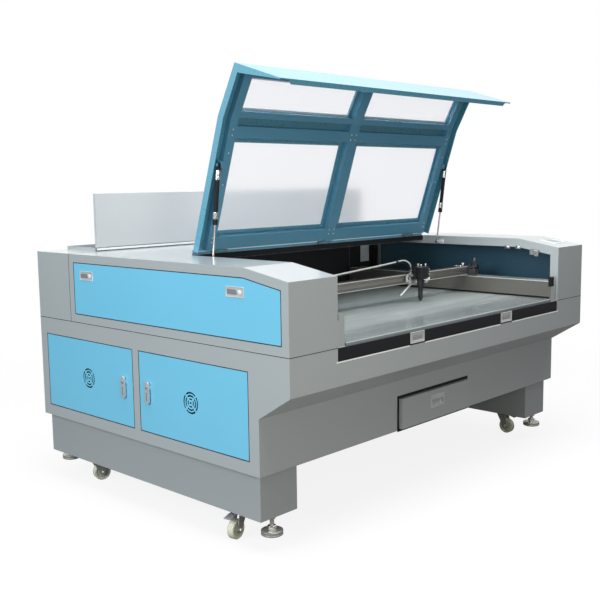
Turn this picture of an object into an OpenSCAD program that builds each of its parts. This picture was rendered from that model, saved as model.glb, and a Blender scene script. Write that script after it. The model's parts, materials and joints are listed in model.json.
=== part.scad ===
// Large-bed fabric laser cutter: a folded-sheet cabinet on two plinths with casters, a hinged
// window hood over the table, a moving gantry with the cutting head, and a tube housing behind.
// X runs along the width, -Y is the front, Z is up, and the floor is at Z = 0.

/* [Cabinet] */
// Overall width over the side walls
body_w = 2100; // [1750:10:2600]
// Overall depth from the front band to the rear wall
body_d = 1550; // [1290:10:1900]
// Height of the cabinet underside above the floor
body_z = 300; // [260:5:400]
// Height of the lower cabinet up to the seam
lower_h = 443; // [430:1:560]
// Height of the upper cabinet above the seam
upper_h = 291; // [270:1:360]
// Sheet thickness of the folded walls
sheet = 3; // [2:0.5:4]
// Setback of the lower front face behind the front band
recess = 152; // [80:2:200]
// Height of the vertical front band under the seam
band_h = 138; // [120:2:160]
// Height of the chamfer under the front band
chamfer_h = 95; // [60:1:110]

/* [Upper cabinet] */
// Width of each side pod beside the opening
pod_w = 245; // [220:5:300]
// Fall of the top towards the front edge
front_drop = 37; // [20:1:60]
// Depth of the sloped part of the top
slope_d = 215; // [180:5:250]
// Depth of the tube housing behind the work area
housing_d = 249; // [220:1:300]
// Depth of the folded lip round the pod's open side
lip_d = 42; // [36:1:50]
// Margin from the pod's outline to the upper side door
upper_margin = 38; // [30:1:50]

/* [Side doors] */
// Margin from the cabinet's corners to the lower doors
door_margin = 53; // [45:1:80]
// Width of the post between the two lower doors
door_post = 46; // [40:1:80]
// Height of the lower doors
door_h = 318; // [280:1:350]
// Underside of the lower doors above the cabinet underside
door_lift = 51; // [40:1:60]
// Depth of a door tray
door_t = 14; // [12:1:18]
// Gap round a door
door_gap = 2; // [2:0.5:4]
// Radius of a door's pivot rod
pivot_r = 2.5; // [2:0.25:3]

/* [Hood] */
// Flat length of the hood from its hinge to the bend
lid_flat = 565; // [500:5:620]
// Height of the hood's outer skin above the top deck
lid_rise = 9; // [8:1:14]
// Side gap between the hood and the pods
lid_gap = 5; // [3:0.5:8]
// Sheet thickness of the hood
lid_sheet = 2.5; // [2:0.5:3]
// Depth of the hood's folded edges
skirt_d = 31; // [20:1:31]
// How far the hood stands open
lid_open = 72; // [60:1:80]
// Thickness of a window pane
pane_t = 4; // [3:1:5]
// Width of the hood's side rails beside the windows
rail_side = 97; // [85:1:120]
// Width of the hood's middle rail
rail_mid = 114; // [90:2:140]

/* [Gas struts] */
// Distance of the strut's upper pivot from the hood hinge
strut_at = 379; // [340:1:400]
// Drop of the strut's upper pivot below the hood's outer skin
strut_drop = 32; // [30:1:34]
// Radius of the strut's cylinder
strut_r = 9; // [8:0.5:10]
// Radius of the strut's rod
rod_r = 4; // [3:0.5:5]

/* [Table and gantry] */
// Thickness of the work table
table_t = 20; // [16:1:24]
// Height of the work table's face above the seam
table_rise = 12; // [8:0.5:14]
// Height of the Y rails above the seam
rail_h = 95; // [80:1:110]
// Width of the Y rails
rail_w = 38; // [30:1:40]
// Distance of the gantry's front face behind the cabinet front
gantry_at = 475; // [430:5:560]
// Side of the square gantry beam
beam = 42; // [36:1:50]
// Distance of the cutting head from the left end of the table opening
head_at = 1042; // [300:5:1200]
// Width of the cutting head's body
head_w = 62; // [56:1:70]
// Clearance between the nozzle and the table
nozzle_gap = 7; // [6:0.5:12]

/* [Drawer and flap] */
// Width of the drawer front
drawer_w = 500; // [400:10:600]
// Height of the drawer front
drawer_h = 127; // [110:1:140]
// Depth of the drawer box
drawer_d = 600; // [450:10:700]
// Height of the front flap
flap_h = 47; // [44:1:54]

/* [Running gear] */
// Radius of the caster wheels
wheel_r = 38; // [34:1:42]
// Width of a caster wheel
wheel_w = 28; // [24:1:32]
// Trail of the wheel behind its swivel
trail = 32; // [28:1:36]
// Height of the plinths' underside above the floor
plinth_z = 124; // [118:1:140]
// Width of a plinth
plinth_w = 187; // [170:1:220]
// Inset of the plinths from the cabinet's sides and front
plinth_inset = 26; // [20:1:40]
// Radius of a levelling foot's pad
foot_r = 40; // [30:1:45]
// Height of each raised foot above the floor: front left, front right, rear left, rear right
foot_up = [52, 64, 70, 70]; // [0:1:72]
// Way each caster has swivelled, in degrees, in the same order
caster_turn = [100, 180, -105, 15]; // [-180:1:180]

/* [Hidden] */

// Clearances: side by side faces, a shaft in its bore, and a piece bedded on another
gap = 0.3;
run = 0.05;
seat = 0.05;
$fn = 48;

body_grey = [0.63, 0.67, 0.68];
plinth_grey = [0.56, 0.60, 0.62];
door_blue = [0.45, 0.73, 0.86];
hood_blue = [0.31, 0.50, 0.60];
silver = [0.75, 0.76, 0.77];
steel = [0.55, 0.54, 0.52];
black = [0.10, 0.11, 0.13];

// Levels and stations worked out from the driving sizes
front_y = -body_d / 2;
rear_y = body_d / 2;
side_x = body_w / 2;
face_y = front_y + recess;
seam_z = body_z + lower_h;
band_z = seam_z - band_h;
chamfer_z = band_z - chamfer_h;
top_z = seam_z + upper_h;
front_top_z = top_z - front_drop;
bend_y = front_y + slope_d;
housing_y = rear_y - housing_d;
pod_x = side_x - pod_w;
hinge_y = bend_y + lid_flat;
hinge_z = top_z + lid_rise;

// Outlines in the (Y, Z) plane, anticlockwise
lower_outline = [[front_y, seam_z], [front_y, band_z], [face_y, chamfer_z], [face_y, body_z],
    [rear_y, body_z], [rear_y, seam_z]];
pod_outline = [[front_y, seam_z], [housing_y, seam_z], [housing_y, top_z], [bend_y, top_z],
    [front_y, front_top_z]];
pod_roof = [[front_y, seam_z], [front_y, front_top_z], [bend_y, top_z], [housing_y, top_z]];

function unit(v) = v / norm(v);
function left_of(v) = [-v.y, v.x];
function reverse(p) = [for (i = [len(p) - 1:-1:0]) p[i]];
// Shift of a corner whose two edges have the normals a and b, so both edges move by d
function mitre(a, b, d) = (a + b) * d / (1 + a * b);
// Closed anticlockwise outline moved inwards by d
function inset(p, d) = let (n = len(p)) [for (i = [0:n - 1])
    p[i] + mitre(left_of(unit(p[i] - p[(i + n - 1) % n])),
        left_of(unit(p[(i + 1) % n] - p[i])), d)];
// Open path moved to its left by d
function shifted(p, d) = let (n = len(p)) [for (i = [0:n - 1])
    let (j = max(i, 1), k = min(i + 1, n - 1))
    p[i] + mitre(left_of(unit(p[j] - p[j - 1])), left_of(unit(p[k] - p[k - 1])), d)];
// Outline of a sheet of thickness d that lies to the right of an open path
function folded(p, d) = concat(p, reverse(shifted(p, -d)));

// Box between two corners
module block(a, b) translate(a) cube(b - a);
// (Y, Z) outline extruded from x0 to x1
module across(x0, x1) translate([x0, 0, 0]) rotate([90, 0, 90]) linear_extrude(x1 - x0) children();
// Left-hand piece, or its mirror image on the right
module on_side(s) mirror([s > 0 ? 1 : 0, 0, 0]) children();
// Local frame on the left wall: X forwards, Y up, Z outwards
module on_left_wall(y, z) translate([-side_x, y, z]) rotate([90, 0, -90]) children();
// Local frame on a front wall at y: X right, Y up, Z outwards
module on_front(x, y, z) translate([x, y, z]) rotate([90, 0, 0]) children();
// Rods and bores along X, Y and Z, from the first point over a length
module rod_x(p, r, l) translate(p) rotate([0, 90, 0]) cylinder(r = r, h = l);
module rod_y(p, r, l) translate(p) rotate([-90, 0, 0]) cylinder(r = r, h = l);
module rod_z(p, r, l) translate(p) cylinder(r = r, h = l);

// ---- Lower doors: places ----
door_z0 = body_z + door_lift;
door_z1 = door_z0 + door_h;
doors_y0 = face_y + door_margin;
doors_y1 = rear_y - door_margin;
door_w = (doors_y1 - doors_y0 - door_post) / 2;
rear_door_y0 = doors_y1 - door_w;
// Pivot rod: depth behind the skin and distance from the door's edge
pivot_in = 3;
pivot_edge = 5;
jamb_d = 22;
stop_w = 12;
door_skin = 2;
pivot_reach = door_gap + sheet + 1;

module door_opening(y0, y1) block([-side_x - 1, y0 - door_gap, door_z0 - door_gap],
    [-side_x + sheet + 1, y1 + door_gap, door_z1 + door_gap]);

// Folded frame behind a door opening, with a stop lip and the bores of the pivot rod
module door_jamb(y0, y1, pivot_y) difference() {
    union() {
        difference() {
            block([-side_x + sheet, y0 - door_gap - sheet, door_z0 - door_gap - sheet],
                [-side_x + jamb_d, y1 + door_gap + sheet, door_z1 + door_gap + sheet]);
            block([-side_x, y0 - door_gap, door_z0 - door_gap],
                [-side_x + jamb_d - sheet, y1 + door_gap, door_z1 + door_gap]);
            block([-side_x, y0 + stop_w, door_z0 + stop_w],
                [-side_x + jamb_d + 1, y1 - stop_w, door_z1 - stop_w]);
        }
        // the wall's own edge carries the rod's bore as well
        for (z = [door_z0 - door_gap - sheet, door_z1 + door_gap])
            block([-side_x + sheet / 2, pivot_y - 8, z], [-side_x + sheet + 6, pivot_y + 8, z + sheet]);
    }
    rod_z([-side_x + pivot_in, pivot_y, door_z0 - 20], pivot_r + run, door_h + 40);
}

// ---- Table, rails and drawer: places ----
rail_out = pod_x - 10;
rail_in = rail_out - rail_w;
table_x = rail_in - 5;
table_z = seam_z + table_rise;
table_y0 = front_y + 8;
table_y1 = housing_y - 26;
bearer = 40;
flap_t = 6;
flap_z1 = seam_z - 2;
flap_z0 = flap_z1 - flap_h;
flap_cut_z = flap_z0 - 2;
flap_axis = [front_y + flap_t / 2, flap_z0 + flap_t / 2];
flap_pin = 2;
drawer_z0 = body_z + 7;
drawer_front_t = 18;
box_x = drawer_w / 2 - 18;
box_z0 = body_z + 12;
box_z1 = drawer_z0 + drawer_h - 22;
box_y1 = face_y + drawer_d;

module lower_body() color(body_grey) {
    difference() {
        across(-side_x, side_x) polygon(lower_outline);
        across(-side_x + sheet, side_x - sheet) polygon(inset(lower_outline, sheet));
        // table well, flap slot and drawer opening
        block([-table_x - 3, front_y + sheet, seam_z - sheet - 1],
            [table_x + 3, table_y1 + 3, seam_z + 1]);
        block([-pod_x, front_y - 1, flap_cut_z], [pod_x, front_y + flap_t + 1, seam_z + 1]);
        block([-box_x - 8, face_y - 1, drawer_z0 + 2], [box_x + 8, face_y + sheet + 1, box_z1 + 6]);
        door_opening(rear_door_y0, doors_y1);
        door_opening(doors_y0, doors_y0 + door_w);
        for (y = [doors_y1 - pivot_edge, doors_y0 + pivot_edge])
            rod_z([-side_x + pivot_in, y, door_z0 - 20], pivot_r + run, door_h + 40);
        rod_x([-pod_x - 15, flap_axis.x, flap_axis.y], flap_pin + run, 2 * pod_x + 30);
    }
    door_jamb(rear_door_y0, doors_y1, doors_y1 - pivot_edge);
    door_jamb(doors_y0, doors_y0 + door_w, doors_y0 + pivot_edge);
    // cross bearers under the table
    for (y = [face_y, 0, table_y1 - bearer])
        difference() {
            block([-side_x + sheet, y, table_z - table_t - bearer],
                [side_x - sheet, y + bearer, table_z - table_t]);
            block([-side_x, y + sheet, table_z - table_t - bearer + sheet],
                [side_x, y + bearer - sheet, table_z - table_t - sheet]);
        }
    // drawer runners on the floor
    for (s = [-1, 1]) on_side(s) {
        block([-box_x, face_y + sheet, body_z + sheet], [-box_x + 20, box_y1 - 20, box_z0 - gap]);
        block([-box_x - 10, face_y + sheet, body_z + sheet], [-box_x - gap, box_y1 - 20, box_z0 + 16]);
    }
    // ears that hold the flap's hinge pins
    for (s = [-1, 1]) on_side(s) difference() {
        block([-pod_x - 14, front_y + sheet, flap_axis.y - 9],
            [-pod_x - gap, front_y + 12, flap_axis.y + 9]);
        rod_x([-pod_x - 11, flap_axis.x, flap_axis.y], flap_pin + run, 20);
    }
}

// ---- Plinths, casters and feet ----
plinth_x0 = -side_x + plinth_inset;
plinth_x1 = plinth_x0 + plinth_w;
plinth_y0 = face_y + plinth_inset;
plinth_y1 = rear_y - 10;
plinth_floor = 6;
caster_front = [plinth_x0 + 82, plinth_y0 + 195];
caster_rear = [plinth_x0 + 82, plinth_y1 - 203];
foot_front = [plinth_x0 + 78, plinth_y0 + 24];
foot_rear = [plinth_x0 + 78, plinth_y1 - 24];
plate_t = 5;
kingpin_r = 8;
swivel_z1 = plinth_z - plate_t - gap;
swivel_h = 9;
swivel_z0 = swivel_z1 - swivel_h;
stem_r = 8;
nut_h = 11;

module plinth(s) color(plinth_grey) on_side(s) difference() {
    union() {
        difference() {
            block([plinth_x0, plinth_y0, plinth_z], [plinth_x1, plinth_y1, body_z]);
            block([plinth_x0 + sheet, plinth_y0 + sheet, plinth_z + plinth_floor],
                [plinth_x1 - sheet, plinth_y1 - sheet, body_z - sheet]);
            // the underside is open between the mounting plates
            block([plinth_x0 + 12, plinth_y0 + 260, plinth_z - 1],
                [plinth_x1 - 12, plinth_y1 - 330, plinth_z + plinth_floor + 1]);
        }
        for (p = [caster_front, caster_rear]) translate([p.x, p.y, 0]) {
            block([-46, -46, plinth_z - plate_t], [46, 46, plinth_z]);
            rod_z([0, 0, swivel_z0 - 4], kingpin_r, plinth_z - swivel_z0);
            rod_z([0, 0, swivel_z0 - 4 - gap], kingpin_r + 5, 4);
        }
        for (p = [foot_front, foot_rear])
            translate([p.x, p.y, plinth_z - nut_h]) cylinder(r = 14, h = nut_h, $fn = 6);
    }
    for (p = [foot_front, foot_rear])
        rod_z([p.x, p.y, plinth_z - 30], stem_r + run, 60);
}

module at_caster(s, p, turn) on_side(s) translate([p.x, p.y, 0]) rotate(turn) children();

// Caster fork: swivel plate, two cheeks and the axle; the wheel trails towards the fork's +Y
module fork(s, p, turn) color(black) at_caster(s, p, turn) {
    difference() {
        rod_z([0, 0, swivel_z0], 33, swivel_h);
        rod_z([0, 0, swivel_z0 - 1], kingpin_r + run, swivel_h + 2);
        rod_z([0, 0, swivel_z0 - 9], kingpin_r + 6, 9);
    }
    cheek_in = wheel_w / 2 + 3;
    for (m = [0, 1]) mirror([m, 0, 0]) {
        across(cheek_in, cheek_in + 3) difference() {
            union() {
                polygon([[-22, swivel_z0], [26, swivel_z0], [trail + 14, wheel_r + 6],
                    [trail + 12, wheel_r - 7], [trail - 9, wheel_r - 11]]);
                translate([trail, wheel_r]) circle(r = 14);
            }
        }
        rod_x([cheek_in + 3, trail, wheel_r], 8, 4);
    }
    rod_x([-cheek_in - 1, trail, wheel_r], 5, 2 * cheek_in + 2);
    // pedal shaft between the cheeks
    rod_x([-cheek_in - 1, pedal_y, pedal_z], 3, 2 * cheek_in + 2);
}
pedal_y = 18;
pedal_z = swivel_z0 - 11;
pedal_boss = 5;

module wheel(s, p, turn) color([0.66, 0.66, 0.55]) at_caster(s, p, turn)
    translate([0, trail, wheel_r]) rotate([0, 90, 0]) rotate_extrude($fn = 64) polygon([[5 + run, -wheel_w / 2 - 2.7],
        [11, -wheel_w / 2 - 2.7], [13, -wheel_w / 2 + 4], [wheel_r - 11, -wheel_w / 2 + 4],
        [wheel_r - 9, -wheel_w / 2], [wheel_r - 2.5, -wheel_w / 2], [wheel_r, -wheel_w / 2 + 3],
        [wheel_r, wheel_w / 2 - 3], [wheel_r - 2.5, wheel_w / 2], [wheel_r - 9, wheel_w / 2],
        [wheel_r - 11, wheel_w / 2 - 4], [13, wheel_w / 2 - 4], [11, wheel_w / 2 + 2.7],
        [5 + run, wheel_w / 2 + 2.7]]);

// Brake pedal: a tread plate behind the wheel on two arms round the pedal shaft
module pedal(s, p, turn) color(silver) at_caster(s, p, turn) translate([0, pedal_y, pedal_z])
difference() {
    union() {
        rod_x([-wheel_w / 2 - 2, 0, 0], pedal_boss, wheel_w + 4);
        across(-wheel_w / 2 - 2, wheel_w / 2 + 2)
            polygon([[0, 1], [0, pedal_boss - 1], [trail + 8, 1], [trail + 34, -6], [trail + 33, -9], [trail + 6, -2]]);
    }
    rod_x([-wheel_w, 0, 0], 3 + run, 2 * wheel_w);
}

// Levelling foot: a thick pad with a collar round its stem
pad_t = 20;
collar_r = 14;
collar_h = 16;

module foot(s, p, up) color([0.8, 0.8, 0.8]) on_side(s) translate([p.x, p.y, up])
    rotate_extrude() polygon([[0, 0], [foot_r - 4, 0], [foot_r, 3], [foot_r, pad_t - 3],
        [foot_r - 3, pad_t], [collar_r + 1, pad_t], [collar_r, pad_t + 1],
        [collar_r, pad_t + collar_h - 1], [collar_r - 1, pad_t + collar_h],
        [stem_r, pad_t + collar_h], [stem_r, plinth_z - up + 60], [0, plinth_z - up + 60]]);

// ---- Pods, housing and deck ----
upper_opening = inset(pod_outline, upper_margin - door_gap);
upper_door = inset(pod_outline, upper_margin);
upper_y0 = upper_door[0].x;
upper_y1 = upper_door[1].x;
upper_z0 = upper_door[0].y;
upper_axis_z = upper_z0 + pivot_edge;

module pod(s) color(body_grey) on_side(s) difference() {
    union() {
        // roof and front, folded from one sheet
        across(-side_x, -pod_x) polygon(folded(pod_roof, sheet));
        // lip round the open inner side
        across(-pod_x - sheet, -pod_x) polygon(folded(pod_roof, lip_d));
        // outer wall, with the framed door opening
        difference() {
            across(-side_x, -side_x + sheet) polygon(pod_outline);
            across(-side_x - 1, -side_x + sheet + 1) polygon(upper_opening);
        }
        across(-side_x + sheet / 2, -side_x + jamb_d) difference() {
            polygon(inset(upper_opening, -sheet));
            polygon(upper_opening);
        }
        across(-side_x + jamb_d - sheet, -side_x + jamb_d) difference() {
            polygon(upper_opening);
            polygon(inset(upper_door, stop_w));
        }
    }
    rod_y([-side_x + pivot_in, upper_y0 - 20, upper_axis_z], pivot_r + run, upper_y1 - upper_y0 + 40);
}

hatch_x = side_x - 150;
rim_h = 15;
rim_y0 = housing_y + 19;
rim_y1 = rear_y - 7;
hatch_axis = [housing_y + 7, top_z + 9];
mirror_x = pod_x + 137;
beam_z = seam_z + 167;

module tube_housing() color(body_grey) {
    difference() {
        block([-side_x, housing_y, seam_z], [side_x, rear_y, top_z]);
        block([-side_x + sheet, housing_y + sheet, seam_z - 1],
            [side_x - sheet, rear_y - sheet, top_z - sheet]);
        block([-hatch_x + sheet, rim_y0 + sheet, top_z - sheet - 1],
            [hatch_x - sheet, rim_y1 - sheet, top_z + 1]);
        // window in the partition for the beam
        block([mirror_x - 40, housing_y - 1, beam_z - 52], [mirror_x + 40, housing_y + sheet + 1, beam_z + 52]);
    }
    // raised rim round the hatch opening
    difference() {
        block([-hatch_x, rim_y0, top_z - sheet], [hatch_x, rim_y1, top_z + rim_h]);
        block([-hatch_x + sheet, rim_y0 + sheet, top_z - sheet - 1],
            [hatch_x - sheet, rim_y1 - sheet, top_z + rim_h + 1]);
    }
}

deck_y0 = hinge_y + 7;

module top_deck() color(body_grey)
    across(-pod_x, pod_x) polygon([[deck_y0, top_z - 26], [deck_y0 + sheet, top_z - 26],
        [deck_y0 + sheet, top_z - sheet], [housing_y, top_z - sheet], [housing_y, top_z],
        [deck_y0, top_z]]);

// Membrane panel on the slope of the right pod
slope_angle = atan(front_drop / slope_d);
module control_panel() color([0.72, 0.74, 0.76])
    translate([side_x - 95, front_y + slope_d / 2, front_top_z + front_drop / 2])
    rotate([slope_angle, 0, 0]) translate([0, 0, seat]) linear_extrude(1.6) square([96, 78], center = true);

// ---- Hatch over the tube housing, upright ----
hatch_skin = 2.5;
hatch_z = rim_h - 9 + 0.8;

// Shape with the hatch closed, about its hinge axis
module hatch_closed() {
    y0 = rim_y0 - 4 - hatch_axis.x;
    y1 = rear_y - hatch_axis.x;
    difference() {
        block([-hatch_x - 6, y0, hatch_z - 11], [hatch_x + 6, y1, hatch_z + hatch_skin]);
        block([-hatch_x - 4, y0 + 2, hatch_z - 12], [hatch_x + 4, y1 - 2, hatch_z]);
    }
    for (x = hatch_hinges) difference() {
        union() {
            rod_x([x - 15, 0, 0], 6, 30);
            block([x - 15, 0, 2], [x + 15, y0 + 0.5, 6]);
        }
        rod_x([x - 20, 0, 0], 3 + run, 40);
    }
}
hatch_hinges = [-hatch_x + 30, 0, hatch_x - 30];

module hatch() color([0.76, 0.79, 0.8])
    translate([0, hatch_axis.x, hatch_axis.y]) rotate([90, 0, 0]) hatch_closed();

// Fixed leaves and pins of the hatch and hood hinges
lid_hinges = [-pod_x + 150, 0, pod_x - 150];
lid_knuckle = 7;
module hinge_leaves() color(black) {
    for (x = hatch_hinges) {
        rod_x([x - 30, hatch_axis.x, hatch_axis.y], 3, 60);
        for (m = [x - 31, x + 15 + gap]) {
            rod_x([m, hatch_axis.x, hatch_axis.y], 6, 16 - gap);
            block([m, hatch_axis.x - 6, top_z], [m + 16 - gap, hatch_axis.x + 6, hatch_axis.y]);
        }
    }
    for (x = lid_hinges) {
        rod_x([x - 40, hinge_y, hinge_z], 3, 80);
        for (m = [x - 41, x + 20 + gap]) {
            rod_x([m, hinge_y, hinge_z], lid_knuckle, 21 - gap);
            block([m, hinge_y, hinge_z - lid_knuckle], [m + 21 - gap, hinge_y + 34, hinge_z - 3]);
            block([m, deck_y0, top_z], [m + 21 - gap, hinge_y + 34, hinge_z - lid_knuckle + 1]);
        }
    }
}

// ---- Hood ----
lid_x = pod_x - lid_gap;
lid_lip = 20;
lid_tip = 5;
lid_front = front_y + 4;
lid_bottom = table_z + 2;
lid_start = hinge_y - 10;
// Outer skin with the hood closed, from the hinge to the front edge
lid_path = [[lid_start, hinge_z], [bend_y, hinge_z],
    [lid_front, hinge_z - (bend_y - lid_front) * tan(slope_angle)], [lid_front, lid_bottom]];
slope_len = norm(lid_path[2] - lid_path[1]);

module opened() translate([0, hinge_y, hinge_z]) rotate([-lid_open, 0, 0])
    translate([0, -hinge_y, -hinge_z]) children();
// Frame on the hood's slope: X across, -Y down the slope from the bend, Z outwards
module on_slope() translate([0, bend_y, hinge_z]) rotate([slope_angle, 0, 0]) children();

// Window spans: across, along the flat part and along the slope
win_x0 = rail_mid / 2;
win_x1 = lid_x - rail_side;
win_flat = [hinge_y - 88, bend_y + 95];
win_slope = [-41, -slope_len + 52];
tube_in = win_x1 + 11;
tube_out = tube_in + 40;
tube_t = 26;

module lid_shell() color(hood_blue) opened() {
    difference() {
        union() {
            across(-lid_x, lid_x) polygon(folded(reverse(lid_path), lid_sheet));
            // side skirts, tapered down the front face to meet the lip
            for (s = [-1, 1]) on_side(s) difference() {
                across(-lid_x, -lid_x + lid_sheet) polygon(folded(reverse(lid_path), skirt_d));
                across(-lid_x - 1, -lid_x + lid_sheet + 1) polygon([
                    [lid_front + skirt_d + 1, lid_path[2].y - skirt_d],
                    [lid_front + lid_tip, lid_bottom - 1], [lid_front + skirt_d + 1, lid_bottom - 1]]);
            }
        }
        for (s = [-1, 1]) on_side(s) {
            block([win_x0, win_flat[1], hinge_z - 20], [win_x1, win_flat[0], hinge_z + 1]);
            on_slope() block([win_x0, win_slope[1], -20], [win_x1, win_slope[0], 1]);
        }
    }
    // front lip, folded inwards, shallow where it passes in front of the rails
    translate([0, lid_front, lid_bottom]) linear_extrude(lid_sheet) polygon([[-lid_x, 0], [lid_x, 0],
        [lid_x, lid_tip], [table_x, lid_tip], [table_x - lid_lip + lid_tip, lid_lip],
        [lid_lip - lid_tip - table_x, lid_lip], [-table_x, lid_tip], [-lid_x, lid_tip]]);
    // moving knuckles on their leaves
    for (x = lid_hinges) difference() {
        union() {
            rod_x([x - 20, hinge_y, hinge_z], lid_knuckle, 40);
            block([x - 20, hinge_y - 46, hinge_z], [x + 20, hinge_y, hinge_z + 4]);
        }
        rod_x([x - 30, hinge_y, hinge_z], 3 + run, 60);
    }
}

// Long rail under the skin, mitred at the bend
rail_path = [[lid_start - 6, hinge_z], lid_path[1],
    lid_path[1] + unit(lid_path[2] - lid_path[1]) * (slope_len - 8)];
rail_outline = folded(reverse(shifted(rail_path, lid_sheet + seat)), tube_t);

// Square-tube frame under the skin, with the struts' upper pins
module lid_frame() color([0.36, 0.56, 0.66]) opened() {
    under = hinge_z - lid_sheet - seat;
    y_back = win_flat[0] + 14;
    cross_x = tube_in;
    for (s = [-1, 1]) on_side(s) {
        across(-tube_out, -tube_in) polygon(rail_outline);
        // strut bracket and pin
        block([-strut_x + 10, pin_closed.x - 12, pin_closed.y - 7],
            [-tube_out, pin_closed.x + 12, under]);
        rod_x([-strut_x - 10, pin_closed.x, pin_closed.y], rod_r, 22);
        rod_x([-strut_x - 10, pin_closed.x, pin_closed.y], rod_r + 2.5, 2.5);
    }
    // middle rail
    across(-30, 30) polygon(rail_outline);
    // cross rails: hinge side, both sides of the bend, and at the front of the slope
    for (s = [-1, 1]) on_side(s) {
        block([-cross_x, y_back, under - tube_t], [-30, y_back + 50, under]);
        block([-cross_x, win_flat[1] - 64, under - tube_t], [-30, win_flat[1] - 14, under]);
        on_slope() for (y = [win_slope[0] + 8, win_slope[1] - 36])
            block([-cross_x - 3, y, 1 - lid_sheet - tube_t], [-27, y + 26, -lid_sheet - 1]);
    }
}

// Four panes, clamped under the skin round the windows
pane_lap = 7;
module lid_panes() color([0.92, 0.94, 0.97, 0.5]) opened() for (s = [-1, 1]) on_side(s) {
    translate([0, 0, hinge_z - lid_sheet - seat])
        block([win_x0 - pane_lap, win_flat[1] - pane_lap, -pane_t],
            [win_x1 + pane_lap, win_flat[0] + pane_lap, 0]);
    on_slope() translate([0, 0, -lid_sheet - seat])
        block([win_x0 - pane_lap, win_slope[1] - pane_lap, -pane_t],
            [win_x1 + pane_lap, win_slope[0] + pane_lap, 0]);
}

// ---- Gas struts ----
strut_x = lid_x - 20;
pin_closed = [hinge_y - strut_at, hinge_z - strut_drop];
// A (Y, Z) point of the closed hood, carried to where it stands open
function carried(p) = let (d = p - [hinge_y, hinge_z])
    [hinge_y + d.x * cos(lid_open) + d.y * sin(lid_open),
     hinge_z - d.x * sin(lid_open) + d.y * cos(lid_open)];
pin_open = carried(pin_closed);
strut_base = [hinge_y - 100, top_z - 29];
strut_len = norm(pin_open - strut_base);
strut_tilt = atan2(pin_open.y - strut_base.y, pin_open.x - strut_base.x);
cylinder_l = 236;
eye_r = 8;
eye_neck = eye_r - 1;
// Local frame of a strut: Z runs from its base up to the hood
module on_strut(s) on_side(s) translate([-strut_x, strut_base.x, strut_base.y])
    rotate([strut_tilt - 90, 0, 0]) children();

module strut_tube(s) color(black) on_strut(s) difference() {
    union() {
        rod_z([0, 0, strut_len - cylinder_l], strut_r, cylinder_l - eye_neck);
        rod_x([-6, 0, strut_len], eye_r, 12);
    }
    rod_x([-10, 0, strut_len], rod_r + run, 20);
    rod_z([0, 0, strut_len - cylinder_l - 1], rod_r + run, cylinder_l - 30);
}

// Rod with its ball fitting; the stud points at the pod's lip
module strut_rod(s) color(silver) on_strut(s) {
    rod_z([0, 0, 0], rod_r, strut_len - cylinder_l + 40);
    rod_x([-7, 0, 0], 7, 14);
    rod_x([-(pod_x - strut_x) + gap, 0, 0], rod_r, pod_x - strut_x - gap);
}

// ---- Upper side doors ----
latch_w = 86;
latch_h = 32;
latch_in = 75;
latch_z = top_z - 88;
paddle_t = 3;
cup_d = 12;
latch_pin = 1.5;
upper_latch_y = [upper_y1 - latch_in - 16, upper_y0 + 222];

// Local frame: X along, Y up, Z outwards, centred on the latch, skin's face at Z = 0
module latch_cup(w, h) difference() {
    translate([-w / 2 - 2.5, -h / 2 - 2.5, -cup_d]) cube([w + 5, h + 5, cup_d - door_skin / 2]);
    translate([-w / 2 - 1, -h / 2 - 1, -cup_d + 1.5]) cube([w + 2, h + 2, cup_d]);
    rod_x([-w / 2 - 4, h / 2 - 4, -paddle_t / 2], latch_pin + run, w + 8);
}
module latch_hole(w, h) {
    translate([-w / 2 - 1, -h / 2 - 1, -door_skin - 1]) cube([w + 2, h + 2, door_skin + 3]);
    rod_x([-w / 2 - 4, h / 2 - 4, -paddle_t / 2], latch_pin + run, w + 8);
}
module latch_paddle(w, h) {
    difference() {
        translate([-w / 2, -h / 2, -paddle_t]) cube([w, h, paddle_t]);
        translate([-w * 0.36, -h / 2 + 4, -1]) cube([w * 0.72, h * 0.34, 2]);
    }
    rod_x([-w / 2 - 2.3, h / 2 - 4, -paddle_t / 2], latch_pin, w + 4.6);
}

module upper_side_door(s) color(door_blue) on_side(s) {
    difference() {
        union() {
            across(-side_x, -side_x + door_skin) polygon(upper_door);
            across(-side_x, -side_x + door_t) difference() {
                polygon(upper_door);
                polygon(inset(upper_door, 2));
            }
            rod_y([-side_x + pivot_in, upper_y0 - pivot_reach, upper_axis_z], pivot_r,
                upper_y1 - upper_y0 + 2 * pivot_reach);
        }
        for (y = upper_latch_y) on_left_wall(y, latch_z) latch_hole(latch_w, latch_h);
    }
    for (y = upper_latch_y) on_left_wall(y, latch_z) latch_cup(latch_w, latch_h);
}
module upper_latch(s, i) color(silver) on_side(s)
    on_left_wall(upper_latch_y[i], latch_z) latch_paddle(latch_w, latch_h);

// ---- Lower side doors ----
vent_z = door_z0 + door_h / 2;
vent_rings = [[12, 17.5], [24, 30], [36, 42]];

// Arc slots in concentric rings, bridged on the diagonals, round a middle dot
module vent_cut() {
    linear_extrude(8, center = true) {
        circle(r = 4.5);
        for (v = vent_rings) difference() {
            circle(r = v[1]);
            circle(r = v[0]);
            for (a = [45, 135]) rotate(a) square([2 * v[1] + 2, 7], center = true);
        }
    }
}

handle_edge = 56;
handle_w = 24;
handle_l = 90;
shaft_r = 5;

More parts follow.
